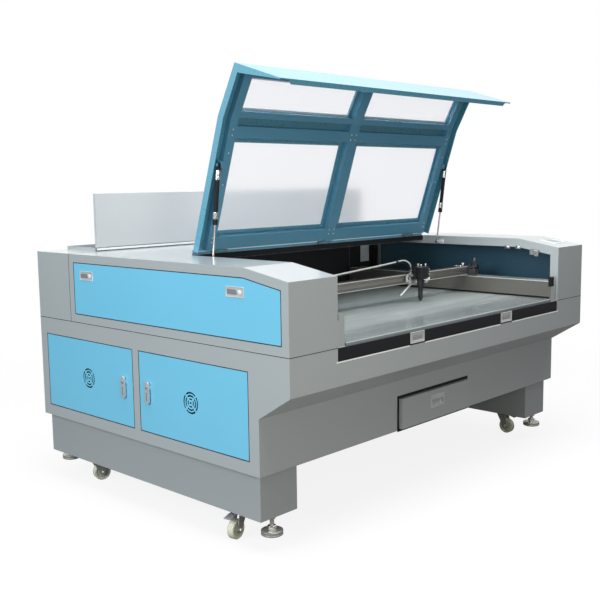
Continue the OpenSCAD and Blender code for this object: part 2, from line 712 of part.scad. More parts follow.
module lower_door(y0, pivot_y, handle_y) color(door_blue) {
    y1 = y0 + door_w;
    difference() {
        union() {
            difference() {
                block([-side_x, y0, door_z0], [-side_x + door_t, y1, door_z1]);
                block([-side_x + door_skin, y0 + 2, door_z0 + 2],
                    [-side_x + door_t + 1, y1 - 2, door_z1 - 2]);
            }
            rod_z([-side_x + pivot_in, pivot_y, door_z0 - pivot_reach], pivot_r,
                door_h + 2 * pivot_reach);
            // boss behind the handle's shaft
            rod_x([-side_x + door_skin, handle_y, vent_z + handle_l / 4], 11, 9);
        }
        on_left_wall((y0 + y1) / 2, vent_z) vent_cut();
        rod_x([-side_x - 1, handle_y, vent_z + handle_l / 4], shaft_r + run, 20);
    }
}
rear_handle_y = rear_door_y0 + handle_edge;
front_handle_y = doors_y0 + door_w - handle_edge;

// Lever on a shaft through the door, held by a collar inside
module handle(y) color(silver) translate([-side_x, y, vent_z]) {
    rod_x([-5, 0, handle_l / 4], shaft_r, 19);
    rod_x([11 + gap, 0, handle_l / 4], shaft_r + 4, 3);
    rod_x([-4, 0, handle_l / 4], handle_w / 2, 4 - gap);
    across(-11, -4) {
        square([handle_w, handle_l - handle_w], center = true);
        for (z = [-1, 1]) translate([0, z * (handle_l - handle_w) / 2]) circle(r = handle_w / 2);
    }
}

// ---- Front flap ----
flap_latch_x = 333;
flap_latch_w = 86;
flap_latch_h = flap_h - 10;
flap_latch_z = flap_z0 + flap_h / 2 + 2;
flap_end_gap = 6;
flap_x = pod_x - flap_end_gap;

module front_flap() color(black) difference() {
    union() {
        difference() {
            block([-flap_x, front_y, flap_z0 + flap_t / 2], [flap_x, front_y + flap_t, flap_z1]);
            block([-flap_x + 2, front_y + door_skin, flap_z0 + flap_t + 2],
                [flap_x - 2, front_y + flap_t + 1, flap_z1 - 2]);
        }
        rod_x([-flap_x, flap_axis.x, flap_axis.y], flap_t / 2, 2 * flap_x);
        rod_x([-pod_x - 8, flap_axis.x, flap_axis.y], flap_pin, 2 * pod_x + 16);
        for (s = [-1, 1]) on_front(s * flap_latch_x, front_y, flap_latch_z)
            translate([-flap_latch_w / 2 - 2.5, -flap_latch_h / 2 - 2.5, -cup_d])
            cube([flap_latch_w + 5, flap_latch_h + 5, cup_d - 1]);
    }
    for (s = [-1, 1]) on_front(s * flap_latch_x, front_y, flap_latch_z) {
        translate([-flap_latch_w / 2 - 1, -flap_latch_h / 2 - 1, -cup_d + 1.5])
            cube([flap_latch_w + 2, flap_latch_h + 2, cup_d + 1]);
        rod_x([-flap_latch_w / 2 - 4, flap_latch_h / 2 - 4, -paddle_t / 2], latch_pin + run,
            flap_latch_w + 8);
    }
}
module flap_latch(s) color(silver) on_front(s * flap_latch_x, front_y, flap_latch_z)
    latch_paddle(flap_latch_w, flap_latch_h);

// ---- Table, rails and gantry ----
module work_table() color([0.68, 0.74, 0.76]) {
    block([-table_x, table_y0 + 30, table_z - table_t], [table_x, table_y1, table_z]);
    // rolled front nose
    across(-table_x, table_x) polygon([[table_y0 + 30, table_z - 14], [table_y0 + 30, table_z],
        [table_y0 + 3, table_z], [table_y0, table_z - 3], [table_y0, table_z - 14]]);
}

rail_y0 = front_y + 10;
rail_y1 = housing_y - 40;
guide_w = 12;
guide_h = 8;
rail_top = seam_z + rail_h;
module y_rail(s) color([0.66, 0.63, 0.59]) on_side(s) {
    block([-rail_out, rail_y0, seam_z], [-rail_in, rail_y1, rail_top]);
    block([-(rail_in + rail_out + guide_w) / 2, rail_y0 + 8, rail_top],
        [-(rail_in + rail_out - guide_w) / 2, rail_y1 - 8, rail_top + guide_h]);
    // end stop
    block([-rail_out + 4, rail_y0, rail_top], [-rail_in - 4, rail_y0 + 7, rail_top + 24]);
}

gantry_y = front_y + gantry_at;
beam_z0 = rail_top + 7;
carriage_l = 130;
carriage_h = 34;
module gantry_beam() color([0.68, 0.65, 0.61]) {
    difference() {
        block([-rail_in, gantry_y, beam_z0], [rail_in, gantry_y + beam, beam_z0 + beam]);
        block([-rail_in - 1, gantry_y + 4, beam_z0 + 4], [rail_in + 1, gantry_y + beam - 4, beam_z0 + beam - 4]);
        // T-slot along the top
        block([-rail_in - 1, gantry_y + beam / 2 - 4, beam_z0 + beam - 5],
            [rail_in + 1, gantry_y + beam / 2 + 4, beam_z0 + beam + 1]);
    }
    // linear guide on the front face
    block([-rail_in, gantry_y - guide_h, beam_z0 + beam / 2 - guide_w / 2],
        [rail_in, gantry_y, beam_z0 + beam / 2 + guide_w / 2]);
}

carriage_y = gantry_y + beam / 2 - carriage_l / 2;
plate_x = rail_out + 98;
module gantry_ends() color(steel) {
    for (s = [-1, 1]) on_side(s) difference() {
        block([-rail_out - 2, carriage_y, rail_top + gap],
            [-rail_in, carriage_y + carriage_l, rail_top + gap + carriage_h]);
        block([-(rail_in + rail_out + guide_w) / 2 - gap, carriage_y - 1, rail_top],
            [-(rail_in + rail_out - guide_w) / 2 + gap, carriage_y + carriage_l + 1,
                rail_top + guide_h + gap]);
    }
    // outboard plate for the drive, bored for the motor's shaft
    plate_z0 = rail_top - 38;
    translate([0, gantry_y + beam / 2, 0]) rotate([90, 0, 0]) linear_extrude(8, center = true)
        difference() {
            polygon([[rail_out + 2, plate_z0], [plate_x - 14, plate_z0], [plate_x, plate_z0 + 14],
                [plate_x, rail_top + 44], [plate_x - 20, rail_top + 54], [rail_out + 2, rail_top + 54]]);
            translate([motor_at.x, motor_at.y]) circle(r = 8);
        }
    // second mirror: post and angled holder on the right-hand carriage
    rod_z([(rail_in + rail_out) / 2, carriage_y + 20, rail_top + carriage_h], 6, 26);
    translate([(rail_in + rail_out) / 2, carriage_y + 20, rail_top + carriage_h + 42])
        rotate([90, 0, 45]) cylinder(r = 18, h = 10, center = true);
}

motor_s = 58;
motor_at = [plate_x - 12 - motor_s / 2, rail_top - 20 + motor_s / 2];
module gantry_motor() color(black) {
    y0 = gantry_y + beam / 2 + 4 + seat;
    block([motor_at.x - motor_s / 2, y0, motor_at.y - motor_s / 2],
        [motor_at.x + motor_s / 2, y0 + 76, motor_at.y + motor_s / 2]);
    // shaft through the plate, with its pulley in front
    rod_y([motor_at.x, y0 - 26, motor_at.y], 5, 27);
    rod_y([motor_at.x, y0 - 30, motor_at.y], 14, 20);
}

head_x = -table_x + head_at;
head_y = gantry_y - guide_h;
head_z0 = beam_z0 - 16;
head_top = beam_z0 + beam + 38;
nozzle_y = head_y - 34;
module head_carriage() color(silver) {
    // plate that rides the beam's guide, with a hook over the top
    difference() {
        block([head_x - 40, head_y - 8, beam_z0 - 8], [head_x + 40, head_y + 7, beam_z0 + beam + 6]);
        block([head_x - 41, head_y - gap, beam_z0 + beam / 2 - guide_w / 2 - gap],
            [head_x + 41, head_y + 8, beam_z0 + beam / 2 + guide_w / 2 + gap]);
    }
    // fitting that the air hose pushes onto
    rod_z([hose_end.x, hose_y, beam_z0 + beam + 6], 7, fitting_h);
    // slanted sighting tube below the beam, clamped to the plate's corner
    translate([head_x - 34, head_y - 4, beam_z0 - 3]) rotate([0, 60, 0]) rod_z([0, 0, -96], 4.5, 96);
}
module laser_head() color(black) {
    difference() {
        block([head_x - head_w / 2, nozzle_y - 30, head_z0 + 6], [head_x + head_w / 2, head_y - 8, head_top]);
        // corner cut for the mirror at 45 degrees, and the focus tube's bore
        translate([head_x - head_w / 2, nozzle_y - 31, head_top]) rotate([0, 45, 0])
            cube([26, 90, 26], center = true);
        rod_z([head_x, nozzle_y, head_z0 - 10], 13 + run, 62);
    }
    for (p = [[-14, -10], [14, -10], [0, 12]])
        rod_z([head_x + p[0] + 4, nozzle_y + p[1], head_top], 4, 13);
    // clamp knob
    rod_x([head_x + head_w / 2, nozzle_y, head_z0 + 20], 4, 8);
    rod_x([head_x + head_w / 2 + 8, nozzle_y, head_z0 + 20], 9, 9);
}
nozzle_z = table_z + nozzle_gap;
module nozzle() color(black) translate([head_x, nozzle_y, nozzle_z]) difference() {
    rotate_extrude() polygon([[0, 0], [4.5, 0], [8, 14], [11, 22], [11, 52], [13, 54],
        [13, head_z0 + 44 - nozzle_z], [0, head_z0 + 44 - nozzle_z]]);
    rod_z([0, 0, -1], 1.2, 8);
}

// Air hose: from a clip on the beam, over an arch and down onto the carriage's fitting
hose_r = 5;
arch_r = 34;
hose_rise = 3.6;
hose_y = head_y;
fitting_h = 12;
hose_end = [head_x - 30, beam_z0 + beam + 6 + fitting_h + gap];
arch_at = hose_end + [-arch_r, 18];
arch_start = arch_at + arch_r * [-sin(hose_rise), cos(hose_rise)];
hose_start = [-rail_in + 55, arch_start.y - (arch_start.x + rail_in - 55) * tan(hose_rise)];
run_l = norm(arch_start - hose_start);
module air_hose() color([0.85, 0.85, 0.83]) {
    // straight run, with a clamp collar where the arch begins
    translate([hose_start.x, hose_y, hose_start.y]) rotate([0, 90 - hose_rise, 0]) {
        cylinder(r = hose_r, h = run_l);
        translate([0, 0, run_l - 7]) cylinder(r = hose_r + 1.5, h = 14);
    }
    translate([arch_at.x, hose_y, arch_at.y]) rotate([90, 0, 0])
        rotate_extrude(angle = 90 + hose_rise) translate([arch_r, 0]) circle(r = hose_r);
    rod_z([hose_end.x, hose_y, hose_end.y], hose_r, arch_at.y - hose_end.y);
    // bracket that stands on the beam and holds the hose
    block([hose_start.x + 8, hose_y - 7, beam_z0 + beam + seat],
        [hose_start.x + 22, gantry_y + 14, beam_z0 + beam + 3]);
    block([hose_start.x + 8, hose_y - 7, beam_z0 + beam + seat],
        [hose_start.x + 22, hose_y + 7, hose_start.y + 8]);
}

// ---- Laser tube ----
laser_r = 40;
laser_y = housing_y + housing_d / 2;
laser_x1 = mirror_x - 120;
laser_x0 = laser_x1 - 1350;
module laser_tube() color([0.8, 0.88, 0.9, 0.5]) rod_x([laser_x0, laser_y, beam_z], laser_r, laser_x1 - laser_x0);
module tube_mounts() color(silver) {
    for (x = [laser_x0 + 200, laser_x1 - 200]) difference() {
        across(x - 15, x + 15) translate([laser_y, 0]) polygon([[-60, seam_z], [60, seam_z],
            [52, beam_z + 20], [30, beam_z + 52], [-30, beam_z + 52], [-52, beam_z + 20]]);
        rod_x([x - 16, laser_y, beam_z], laser_r, 32);
    }
    // first mirror on its post
    rod_z([mirror_x, laser_y, seam_z], 10, beam_z - seam_z - 20);
    translate([mirror_x, laser_y, beam_z]) rotate([90, 0, 45]) cylinder(r = 24, h = 14, center = true);
}

// ---- Drawer ----
module drawer() color(body_grey) {
    y0 = face_y - gap - drawer_front_t;
    difference() {
        union() {
            difference() {
                block([-drawer_w / 2, y0, drawer_z0], [drawer_w / 2, face_y - gap, drawer_z0 + drawer_h]);
                block([-drawer_w / 2 + 3, y0 + 3, drawer_z0 + 3],
                    [drawer_w / 2 - 3, face_y, drawer_z0 + drawer_h - 3]);
            }
            // open-topped box behind the front
            difference() {
                block([-box_x, y0 + 1, box_z0], [box_x, box_y1, box_z1]);
                block([-box_x + 2, y0 + 3, box_z0 + 2], [box_x - 2, box_y1 - 2, box_z1 + 1]);
            }
        }
        block([-pull_w / 2, y0 - 1, pull_z - pull_h / 2], [pull_w / 2, y0 + 4, pull_z + pull_h / 2]);
    }
}
pull_w = 88;
pull_h = 42;
pull_z = drawer_z0 + drawer_h / 2 + 14;
module drawer_pull() color(silver) {
    y0 = face_y - gap - drawer_front_t;
    difference() {
        union() {
            block([-pull_w / 2 - 6, y0 - 2, pull_z - pull_h / 2 - 6],
                [pull_w / 2 + 6, y0, pull_z + pull_h / 2 + 6]);
            block([-pull_w / 2, y0, pull_z - pull_h / 2], [pull_w / 2, y0 + 13, pull_z + pull_h / 2]);
        }
        block([-pull_w / 2 + 2, y0 - 3, pull_z - pull_h / 2 + 2],
            [pull_w / 2 - 2, y0 + 11, pull_z + pull_h / 2 - 2]);
    }
    // finger grip across the top of the recess
    block([-pull_w / 2 + 2, y0 - 2, pull_z + pull_h / 2 - 12], [pull_w / 2 - 2, y0, pull_z + pull_h / 2 - 2]);
}

lower_body();
plinth(-1);  // plinth_left
plinth(1);  // plinth_right
pod(-1);  // pod_left
pod(1);  // pod_right
tube_housing();
top_deck();
work_table();
front_flap();
flap_latch(-1);  // flap_latch_left
flap_latch(1);  // flap_latch_right
y_rail(-1);  // rail_left
y_rail(1);  // rail_right
gantry_beam();
gantry_ends();
gantry_motor();
head_carriage();
laser_head();
nozzle();
air_hose();
laser_tube();
tube_mounts();
hatch();
hinge_leaves();
lid_shell();
lid_frame();
lid_panes();
strut_tube(-1);  // strut_tube_left
strut_rod(-1);  // strut_rod_left
strut_tube(1);  // strut_tube_right
strut_rod(1);  // strut_rod_right
upper_side_door(-1);  // upper_door_left
upper_side_door(1);  // upper_door_right
upper_latch(-1, 0);  // upper_latch_left_rear
upper_latch(-1, 1);  // upper_latch_left_front
upper_latch(1, 0);  // upper_latch_right_rear
upper_latch(1, 1);  // upper_latch_right_front
lower_door(rear_door_y0, doors_y1 - pivot_edge, rear_handle_y);  // rear_door
lower_door(doors_y0, doors_y0 + pivot_edge, front_handle_y);  // front_door
handle(rear_handle_y);  // rear_handle
handle(front_handle_y);  // front_handle
drawer();
drawer_pull();
control_panel();
fork(-1, caster_front, caster_turn[0]);  // fork_fl
fork(1, caster_front, caster_turn[1]);  // fork_fr
fork(-1, caster_rear, caster_turn[2]);  // fork_rl
fork(1, caster_rear, caster_turn[3]);  // fork_rr
wheel(-1, caster_front, caster_turn[0]);  // wheel_fl
wheel(1, caster_front, caster_turn[1]);  // wheel_fr
wheel(-1, caster_rear, caster_turn[2]);  // wheel_rl
wheel(1, caster_rear, caster_turn[3]);  // wheel_rr
pedal(-1, caster_front, caster_turn[0]);  // pedal_fl
pedal(1, caster_front, caster_turn[1]);  // pedal_fr
pedal(-1, caster_rear, caster_turn[2]);  // pedal_rl
pedal(1, caster_rear, caster_turn[3]);  // pedal_rr
foot(-1, foot_front, foot_up[0]);  // foot_fl
foot(1, foot_front, foot_up[1]);  // foot_fr
foot(-1, foot_rear, foot_up[2]);  // foot_rl
foot(1, foot_rear, foot_up[3]);  // foot_rr
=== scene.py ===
# %% [markdown]
# # Finishing a fabric laser cutter
# The machine arrives as a frame: sixty named parts of folded sheet, tube and turned metal, already in
# their places. Nothing here moves or reshapes them, and three get a finer piece in their place. This
# file gives every part its surface, adds the small things that a frame leaves out, such as screws,
# cables and trim, and sets up a studio round it.
# Read it from the top: each step is explained, then done in a short cell that prints what it made.

# %% Load the frame
import json
import math

import bmesh
import bpy
import numpy as np
from mathutils import Matrix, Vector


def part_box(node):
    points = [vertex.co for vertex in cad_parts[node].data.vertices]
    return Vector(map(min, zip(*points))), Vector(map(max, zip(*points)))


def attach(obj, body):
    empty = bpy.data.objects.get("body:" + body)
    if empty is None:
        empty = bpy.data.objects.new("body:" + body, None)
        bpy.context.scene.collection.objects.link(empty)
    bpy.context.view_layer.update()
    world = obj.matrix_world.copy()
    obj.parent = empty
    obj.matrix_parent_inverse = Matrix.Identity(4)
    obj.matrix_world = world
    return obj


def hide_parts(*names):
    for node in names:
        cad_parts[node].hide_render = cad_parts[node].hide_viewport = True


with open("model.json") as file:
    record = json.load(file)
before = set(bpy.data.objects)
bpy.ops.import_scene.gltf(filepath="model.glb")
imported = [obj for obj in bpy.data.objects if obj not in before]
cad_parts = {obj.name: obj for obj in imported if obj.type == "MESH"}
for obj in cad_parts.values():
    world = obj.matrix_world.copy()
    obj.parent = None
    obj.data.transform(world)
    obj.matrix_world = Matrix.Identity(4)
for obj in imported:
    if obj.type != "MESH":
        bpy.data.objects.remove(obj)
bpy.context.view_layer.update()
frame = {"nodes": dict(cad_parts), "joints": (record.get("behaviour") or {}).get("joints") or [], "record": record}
joints = {joint["name"]: joint for joint in frame["joints"]}
nodes = frame["nodes"]


def pivot(joint):
    """A point on a joint's axis, in metres."""
    return np.array(joints[joint]["pos_m"])


# %% [markdown]
# ## Shader maths that reads like sums
# A material is a graph of nodes, and wiring it by hand hides the idea behind it. A small class that
# wraps one output socket lets Python's own operators add the Math nodes: `0.9 + noise * 0.1` builds
# two nodes and means what it says. The reflected forms make `1 - mask` work too. Every other kind of
# node comes from one method, so a finish further down is only a few lines.


# %% A socket that can be added and multiplied
class Signal:
    """One output socket. Each operator adds one Math node and wraps its result."""

    def __init__(self, finish, socket):
        self.finish = finish
        self.socket = socket

    def maths(self, operation, *values):
        return self.finish.node("Math", {"operation": operation}, dict(enumerate(values)))

    def __add__(self, other):
        return self.maths("ADD", self, other)

    def __sub__(self, other):
        return self.maths("SUBTRACT", self, other)

    def __rsub__(self, other):
        return self.maths("SUBTRACT", other, self)

    def __mul__(self, other):
        return self.maths("MULTIPLY", self, other)

    __radd__ = __add__
    __rmul__ = __mul__


# %% A finish is a material under construction
class Finish:
    """A material with its Principled shader. Fixed values go straight onto the shader's sockets."""

    def __init__(self, name, **fixed):
        self.material = bpy.data.materials.new(name)
        self.material.use_nodes = True
        self.tree = self.material.node_tree
        self.shader = self.tree.nodes["Principled BSDF"]
        for socket, value in fixed.items():
            self.shader.inputs[socket.replace("_", " ")].default_value = value

    def feed(self, socket, value):
        """Links a Signal into a socket, or sets a plain value on it."""
        if isinstance(value, Signal):
            self.tree.links.new(value.socket, socket)
        else:
            socket.default_value = value

    def node(self, kind, settings=None, inputs=None, output=0):
        """Adds one node: its type, its settings, then its sockets by name or number."""
        node = self.tree.nodes.new("ShaderNode" + kind)
        for name, value in (settings or {}).items():
            setattr(node, name, value)
        for key, value in (inputs or {}).items():
            self.feed(node.inputs[key], value)
        return Signal(self, node.outputs[output])

    def set(self, **values):
        """Feeds the Principled shader's own sockets."""
        for socket, value in values.items():
            self.feed(self.shader.inputs[socket.replace("_", " ")], value)


# %% Words for the nodes that most finishes use
def place(finish):
    """Where a point is on the object, in metres."""
    return finish.node("TexCoord", output="Object")


def noise(finish, scale, detail, roughness=0.5, stretch=(1, 1, 1)):
    """Smooth random values from 0 to 1, about `scale` of them to the metre, stretched along an axis."""
    point = place(finish)
    if stretch != (1, 1, 1):
        point = finish.node("Mapping", {}, {"Vector": point, "Scale": stretch})
    inputs = {"Vector": point, "Scale": scale, "Detail": detail, "Roughness": roughness}
    return finish.node("TexNoise", {}, inputs)


def step(finish, value, low, high):
    """0 below `low`, 1 above `high`, and a smooth ramp between."""
    settings = {"interpolation_type": "SMOOTHSTEP"}
    return finish.node("MapRange", settings, {0: value, 1: low, 2: high, 3: 0.0, 4: 1.0})


def blend_colours(finish, first, second, share):
    """`first` where the share is 0 and `second` where it is 1."""
    settings = {"data_type": "RGBA"}
    return finish.node("Mix", settings, {0: share, 6: first, 7: second}, output=2)


def dot(finish, first, second):
    """Cosine of the angle between two unit vectors."""
    settings = {"operation": "DOT_PRODUCT"}
    return finish.node("VectorMath", settings, {0: first, 1: second}, output="Value")


def shade(colour, factor):
    """The same colour, lighter or darker, worked out in Python."""
    return tuple(min(1.0, channel * factor) for channel in colour) + (1.0,)


def rounded(finish, radius):
    """The normal as if every edge had a small radius, because no folded or painted edge is sharp."""
    return finish.node("Bevel", {"samples": 6}, {"Radius": radius})


def bumpy(finish, strength, depth, height, normal):
    """The normal, tilted by the slope of a height that runs from 0 to 1 over `depth` metres."""
    inputs = {"Strength": strength, "Distance": depth, "Height": height, "Normal": normal}
    return finish.node("Bump", {}, inputs)


# %% [markdown]
# ## Powder coat
# The cabinet, doors, hood and plinths are sheet steel with powder coat baked on. Close up it has an
# orange peel skin a few millimetres across, from afar its tone drifts a little over a metre, and it
# thins at the folds. The folds also get a painted highlight, so edges look a shade lighter. The shader
# works the folds out by itself: where the rounded normal leans away from the flat one, there is an edge.


# %% The powder coat recipe
DRIFT = 0.05


def powder_coat(name, colour, roughness=0.38, fold=0.0018, coat=0.85):
    """Tone = colour x (1 + drift of slow noise + a little fine noise), with a painted highlight near edges."""
    paint = Finish(name, Coat_Weight=coat, Coat_Roughness=0.14, IOR=1.45)
    soft = rounded(paint, fold)
    sharp = paint.node("NewGeometry", output="Normal")
    edge = step(paint, 1 - dot(paint, soft, sharp), 0.01, 0.22)
    slow = noise(paint, 1.1, detail=3.0)
    fine = noise(paint, 70.0, detail=4.0, roughness=0.6)
    tone = slow * 0.75 + fine * 0.25
    body = blend_colours(paint, shade(colour, 1 - DRIFT), shade(colour, 1 + DRIFT), tone)
    # Near an edge the tone runs part way to a lighter one: a painted highlight on the folds.
    edge_highlit = blend_colours(paint, body, shade(colour, 1.28), edge * 0.4)
    paint.set(Base_Color=edge_highlit, Roughness=roughness - 0.04 + fine * 0.08)
    paint.set(Normal=bumpy(paint, 0.04, 0.0006, noise(paint, 420.0, detail=1.5), soft))
    return paint


GREY = (0.385, 0.420, 0.430)
PLINTH = (0.345, 0.375, 0.385)
SKY = (0.175, 0.560, 0.785)
# The hood is painted the doors' blue. The next two colours are that blue darkened as painted shade: over the open
# hood, and darker still on the frame tubes under it.
HOOD_SHADED = (0.105, 0.330, 0.450)
RAIL_BLUE_SHADED = (0.094, 0.285, 0.425)
HATCH = (0.465, 0.485, 0.500)
finishes = {
    "body_grey": powder_coat("cabinet_grey", GREY),
    "plinth_grey": powder_coat("plinth_grey", PLINTH),
    "door_blue": powder_coat("door_blue", SKY, roughness=0.32),
    "hood_blue": powder_coat("hood_blue", HOOD_SHADED, roughness=0.28, fold=0.0004, coat=0.6),
    "frame_blue": powder_coat("hood_rail_blue_shaded", RAIL_BLUE_SHADED, roughness=0.45, fold=0.0025, coat=0.1),
    "hatch_grey": powder_coat("hatch_grey", HATCH),
}
print("powder coats:", len(finishes))

# %% [markdown]
# ## Bare and plated metal
# Latches and pulls are die cast and satin plated, rails and the beam are drawn or ground, struts and
# feet are bright. What tells them apart is how the roughness runs: a ground face has fine scratches
# along its length, so its noise is stretched, and a cast one is mottled evenly.


# %% The metal recipe
SMALL_EDGE = 0.0008


def metal(name, colour, roughness, grain=(1, 1, 1), **fixed):
    """Metal whose roughness and tone follow one noise, stretched along the grain."""
    finish = Finish(name, **({"Metallic": 1.0} | fixed))
    streak = noise(finish, 90.0, detail=5.0, roughness=0.65, stretch=grain)
    cloud = noise(finish, 7.0, detail=2.0)
    tone = streak * 0.6 + cloud * 0.4
    body = blend_colours(finish, shade(colour, 0.86), shade(colour, 1.1), tone)
    finish.set(Base_Color=body, Roughness=roughness - 0.08 + streak * 0.16)
    finish.set(Normal=bumpy(finish, 0.08, 0.0004, streak, rounded(finish, SMALL_EDGE)))
    return finish


finishes |= {
    "zinc": metal("satin_plate", (0.70, 0.72, 0.73), 0.36, Metallic=0.65),
    "bright": metal("bright_steel", (0.86, 0.86, 0.84), 0.22, grain=(1, 1, 0.1)),
    "bracket": metal("bracket_aluminium", (0.66, 0.66, 0.65), 0.38, grain=(0.2, 1, 1), Metallic=0.7),
    "steel": metal("ground_steel", (0.33, 0.315, 0.295), 0.32, grain=(1, 0.1, 1)),
    "rail": metal("rail_enamel", (0.170, 0.163, 0.145), 0.36, grain=(1, 0.08, 1), Metallic=0.35),
    "black_metal": metal("black_oxide", (0.018, 0.019, 0.022), 0.50, Metallic=0.0, IOR=1.2),
}
metallic = {name: finish.shader.inputs["Metallic"].default_value for name, finish in finishes.items()}
print("metals:", [name for name, value in metallic.items() if value])

# %% [markdown]
# ## Plastic, glass and the table
# The window panes are frosted acrylic: light passes, shapes do not, so the shader is rough inside as
# well as outside. The table is a polished plate that mirrors the hood. Its tone and roughness follow
# faint long streaks, and a painted dark reflection runs along its front. The wheels are cast
# polyurethane, and the hose is pale plastic tube.


# %% Plastic, glass and table recipes
def plastic(name, colour, roughness, mottle=0.05, peel=0.05, **fixed):
    """An even colour with a faint mottle, and a fine moulded skin in the normal."""
    finish = Finish(name, **fixed)
    fine = noise(finish, 120.0, detail=3.0)
    body = blend_colours(finish, shade(colour, 1 - mottle), shade(colour, 1 + mottle), fine)
    finish.set(Base_Color=body, Roughness=roughness - 0.03 + fine * 0.06)
    finish.set(Normal=bumpy(finish, peel, 0.0003, fine, rounded(finish, SMALL_EDGE)))
    return finish


def table_top():
    """A polished plate, a painted dark reflection along its front, long streaks in tone and roughness."""
    front_reflection, pale, reflection_band = (0.12, 0.145, 0.16, 1), (0.82, 0.91, 0.89, 1), (-0.64, -0.36)
    finish = Finish("table_plate", Metallic=0.2, Coat_Weight=0.35, Coat_Roughness=0.08)
    streaks = noise(finish, 5.0, detail=5.0, roughness=0.6, stretch=(0.35, 2.2, 1))
    cloud = noise(finish, 2.2, detail=2.0)
    y = finish.node("SeparateXYZ", {}, {0: place(finish)}, output=1)
    # Towards the front the colour runs to the painted dark reflection.
    share = step(finish, y + streaks * 0.14, *reflection_band) * 0.62 + cloud * 0.22 + streaks * 0.16
    finish.set(Base_Color=blend_colours(finish, front_reflection, pale, share), Roughness=0.12 + streaks * 0.16)
    finish.set(Normal=rounded(finish, 0.0015))
    return finish


finishes |= {
    "pane": plastic(
        "frosted_acrylic", (0.965, 0.970, 0.995), 0.32, 0.01, Transmission_Weight=0.88, IOR=1.08
    ),
    "table": table_top(),
    "black_case": plastic("black_case", (0.014, 0.015, 0.018), 0.36, IOR=1.3),
    "membrane": plastic("membrane", (0.52, 0.55, 0.57), 0.42),
    "hose": plastic("air_hose", (0.52, 0.53, 0.52), 0.22),
    "tube_glass": plastic(
        "tube_glass", (0.90, 0.95, 0.95), 0.04, 0.01, peel=0.0, Transmission_Weight=0.9, IOR=1.3
    ),
    "caster_tread": plastic("polyurethane", (0.74, 0.76, 0.60), 0.42, Coat_Weight=0.2),
    "rubber": plastic("rubber", (0.014, 0.014, 0.015), 0.6, IOR=1.2),
    "white_card": plastic("white_card", (0.86, 0.90, 0.88), 0.5),
    "shadow": plastic("joint_shadow", (0.030, 0.032, 0.034), 0.7, IOR=1.1),
    # A darker plated metal; on recesses, slots and grooves it is painted shade.
    "dark_zinc": metal("dark_plate", (0.34, 0.35, 0.36), 0.40, Metallic=0.7),
    # A near-black sheet for painted shade inside the work area.
    "shade_sheet": plastic("shade_sheet", (0.040, 0.043, 0.048), 0.6, IOR=1.15),
    # The doors' blue, darkened as painted shade for the upper doors' inner faces.
    "door_shade_teal": powder_coat("door_inside_shade", (0.048, 0.125, 0.185), coat=0.1),
    "screen": plastic("display_window", (0.26, 0.31, 0.32), 0.18),
    "key_grey": plastic("blank_keys", (0.42, 0.46, 0.48), 0.5),
    "hub_grey": plastic("wheel_hub", (0.52, 0.54, 0.43), 0.4),
    "end_black": metal("drive_bracket", (0.060, 0.062, 0.066), 0.42, Metallic=0.4),
    "rail_shade": metal("rail_in_shade", (0.075, 0.074, 0.068), 0.5, grain=(1, 0.08, 1), Metallic=0.2),
    "fork_grey": metal("caster_pressing", (0.42, 0.43, 0.39), 0.42, Metallic=0.5),
    "foot_cast": metal("foot_casting", (0.52, 0.51, 0.48), 0.36, Metallic=0.7),
    "pale_strip": plastic("pale_strip", (0.72, 0.76, 0.78), 0.3),
    "hinge_grey": metal("hinge_grey", (0.22, 0.26, 0.29), 0.4),
}
print("finishes:", len(finishes))

# %% [markdown]
# ## Dressing the frame
# The record names a material slot for every part, so one loop gives each CAD part the finish of its
# slot, and a few then get their own. A part with no finish would show as plain plastic, and the count
# printed here proves that none is left.

# %% Give every part the finish of its slot
for part in frame["record"]["subparts"]:
    data = nodes[part["node"]].data
    data.materials.clear()
    data.materials.append(finishes[part["material_slot"]].material)
overrides = {"hinge_leaves": "hinge_grey", "gantry_ends": "end_black", "rail_left": "rail_shade"}
for corner in ("fl", "fr", "rl", "rr"):
    overrides |= {f"fork_{corner}": "fork_grey", f"foot_{corner}": "foot_cast"}
for name, finish in overrides.items():
    nodes[name].data.materials[0] = finishes[finish].material
print("dressed:", sum(len(part.data.materials) == 1 for part in nodes.values()), "of", len(nodes))

# %% [markdown]
# ## Surfaces from numbers
# New pieces are surfaces on a grid: row i and column j of an array hold one point, and neighbours
# make a quad. A turned part is a profile carried round an axis, a cable is a circle carried along a
# curve, and a plate is a rounded outline carried through its thickness. All three are one function
# with different arrays, so it is written once.


# %% Directions on the machine, and its two sides
UP, DOWN, FRONT, BACK = (0, 0, 1), (0, 0, -1), (0, -1, 0), (0, 1, 0)
LEFT, RIGHT = (-1, 0, 0), (1, 0, 0)
SIDES = (-1, 1)
HANDS = ((-1, "l"), (1, "r"))


# %% Grids of points become meshes
def lofted(rings, capped=True):
    """A skin over rings of points, shape (rings, points, 3): quads between them, and a cap at each end."""
    rows, columns, _ = rings.shape
    i, j = np.meshgrid(np.arange(rows - 1), np.arange(columns), indexing="ij")
    k = (j + 1) % columns
    corners = (i * columns + j, i * columns + k, (i + 1) * columns + k, (i + 1) * columns + j)
    quads = np.stack(corners, axis=-1).reshape(-1, 4)
    caps = [np.arange(columns)[::-1], np.arange(columns) + (rows - 1) * columns] if capped else []
    return rings.reshape(-1, 3), quads.tolist() + [cap.tolist() for cap in caps]


def facing(normal, side):
    """Three unit rows, X, Y and Z of a local frame whose Z points along `normal` and X leans to `side`."""
    z = np.array(normal, float) / np.linalg.norm(normal)
    y = np.cross(z, side)
    y = y / np.linalg.norm(y)
    return np.array([np.cross(y, z), y, z])


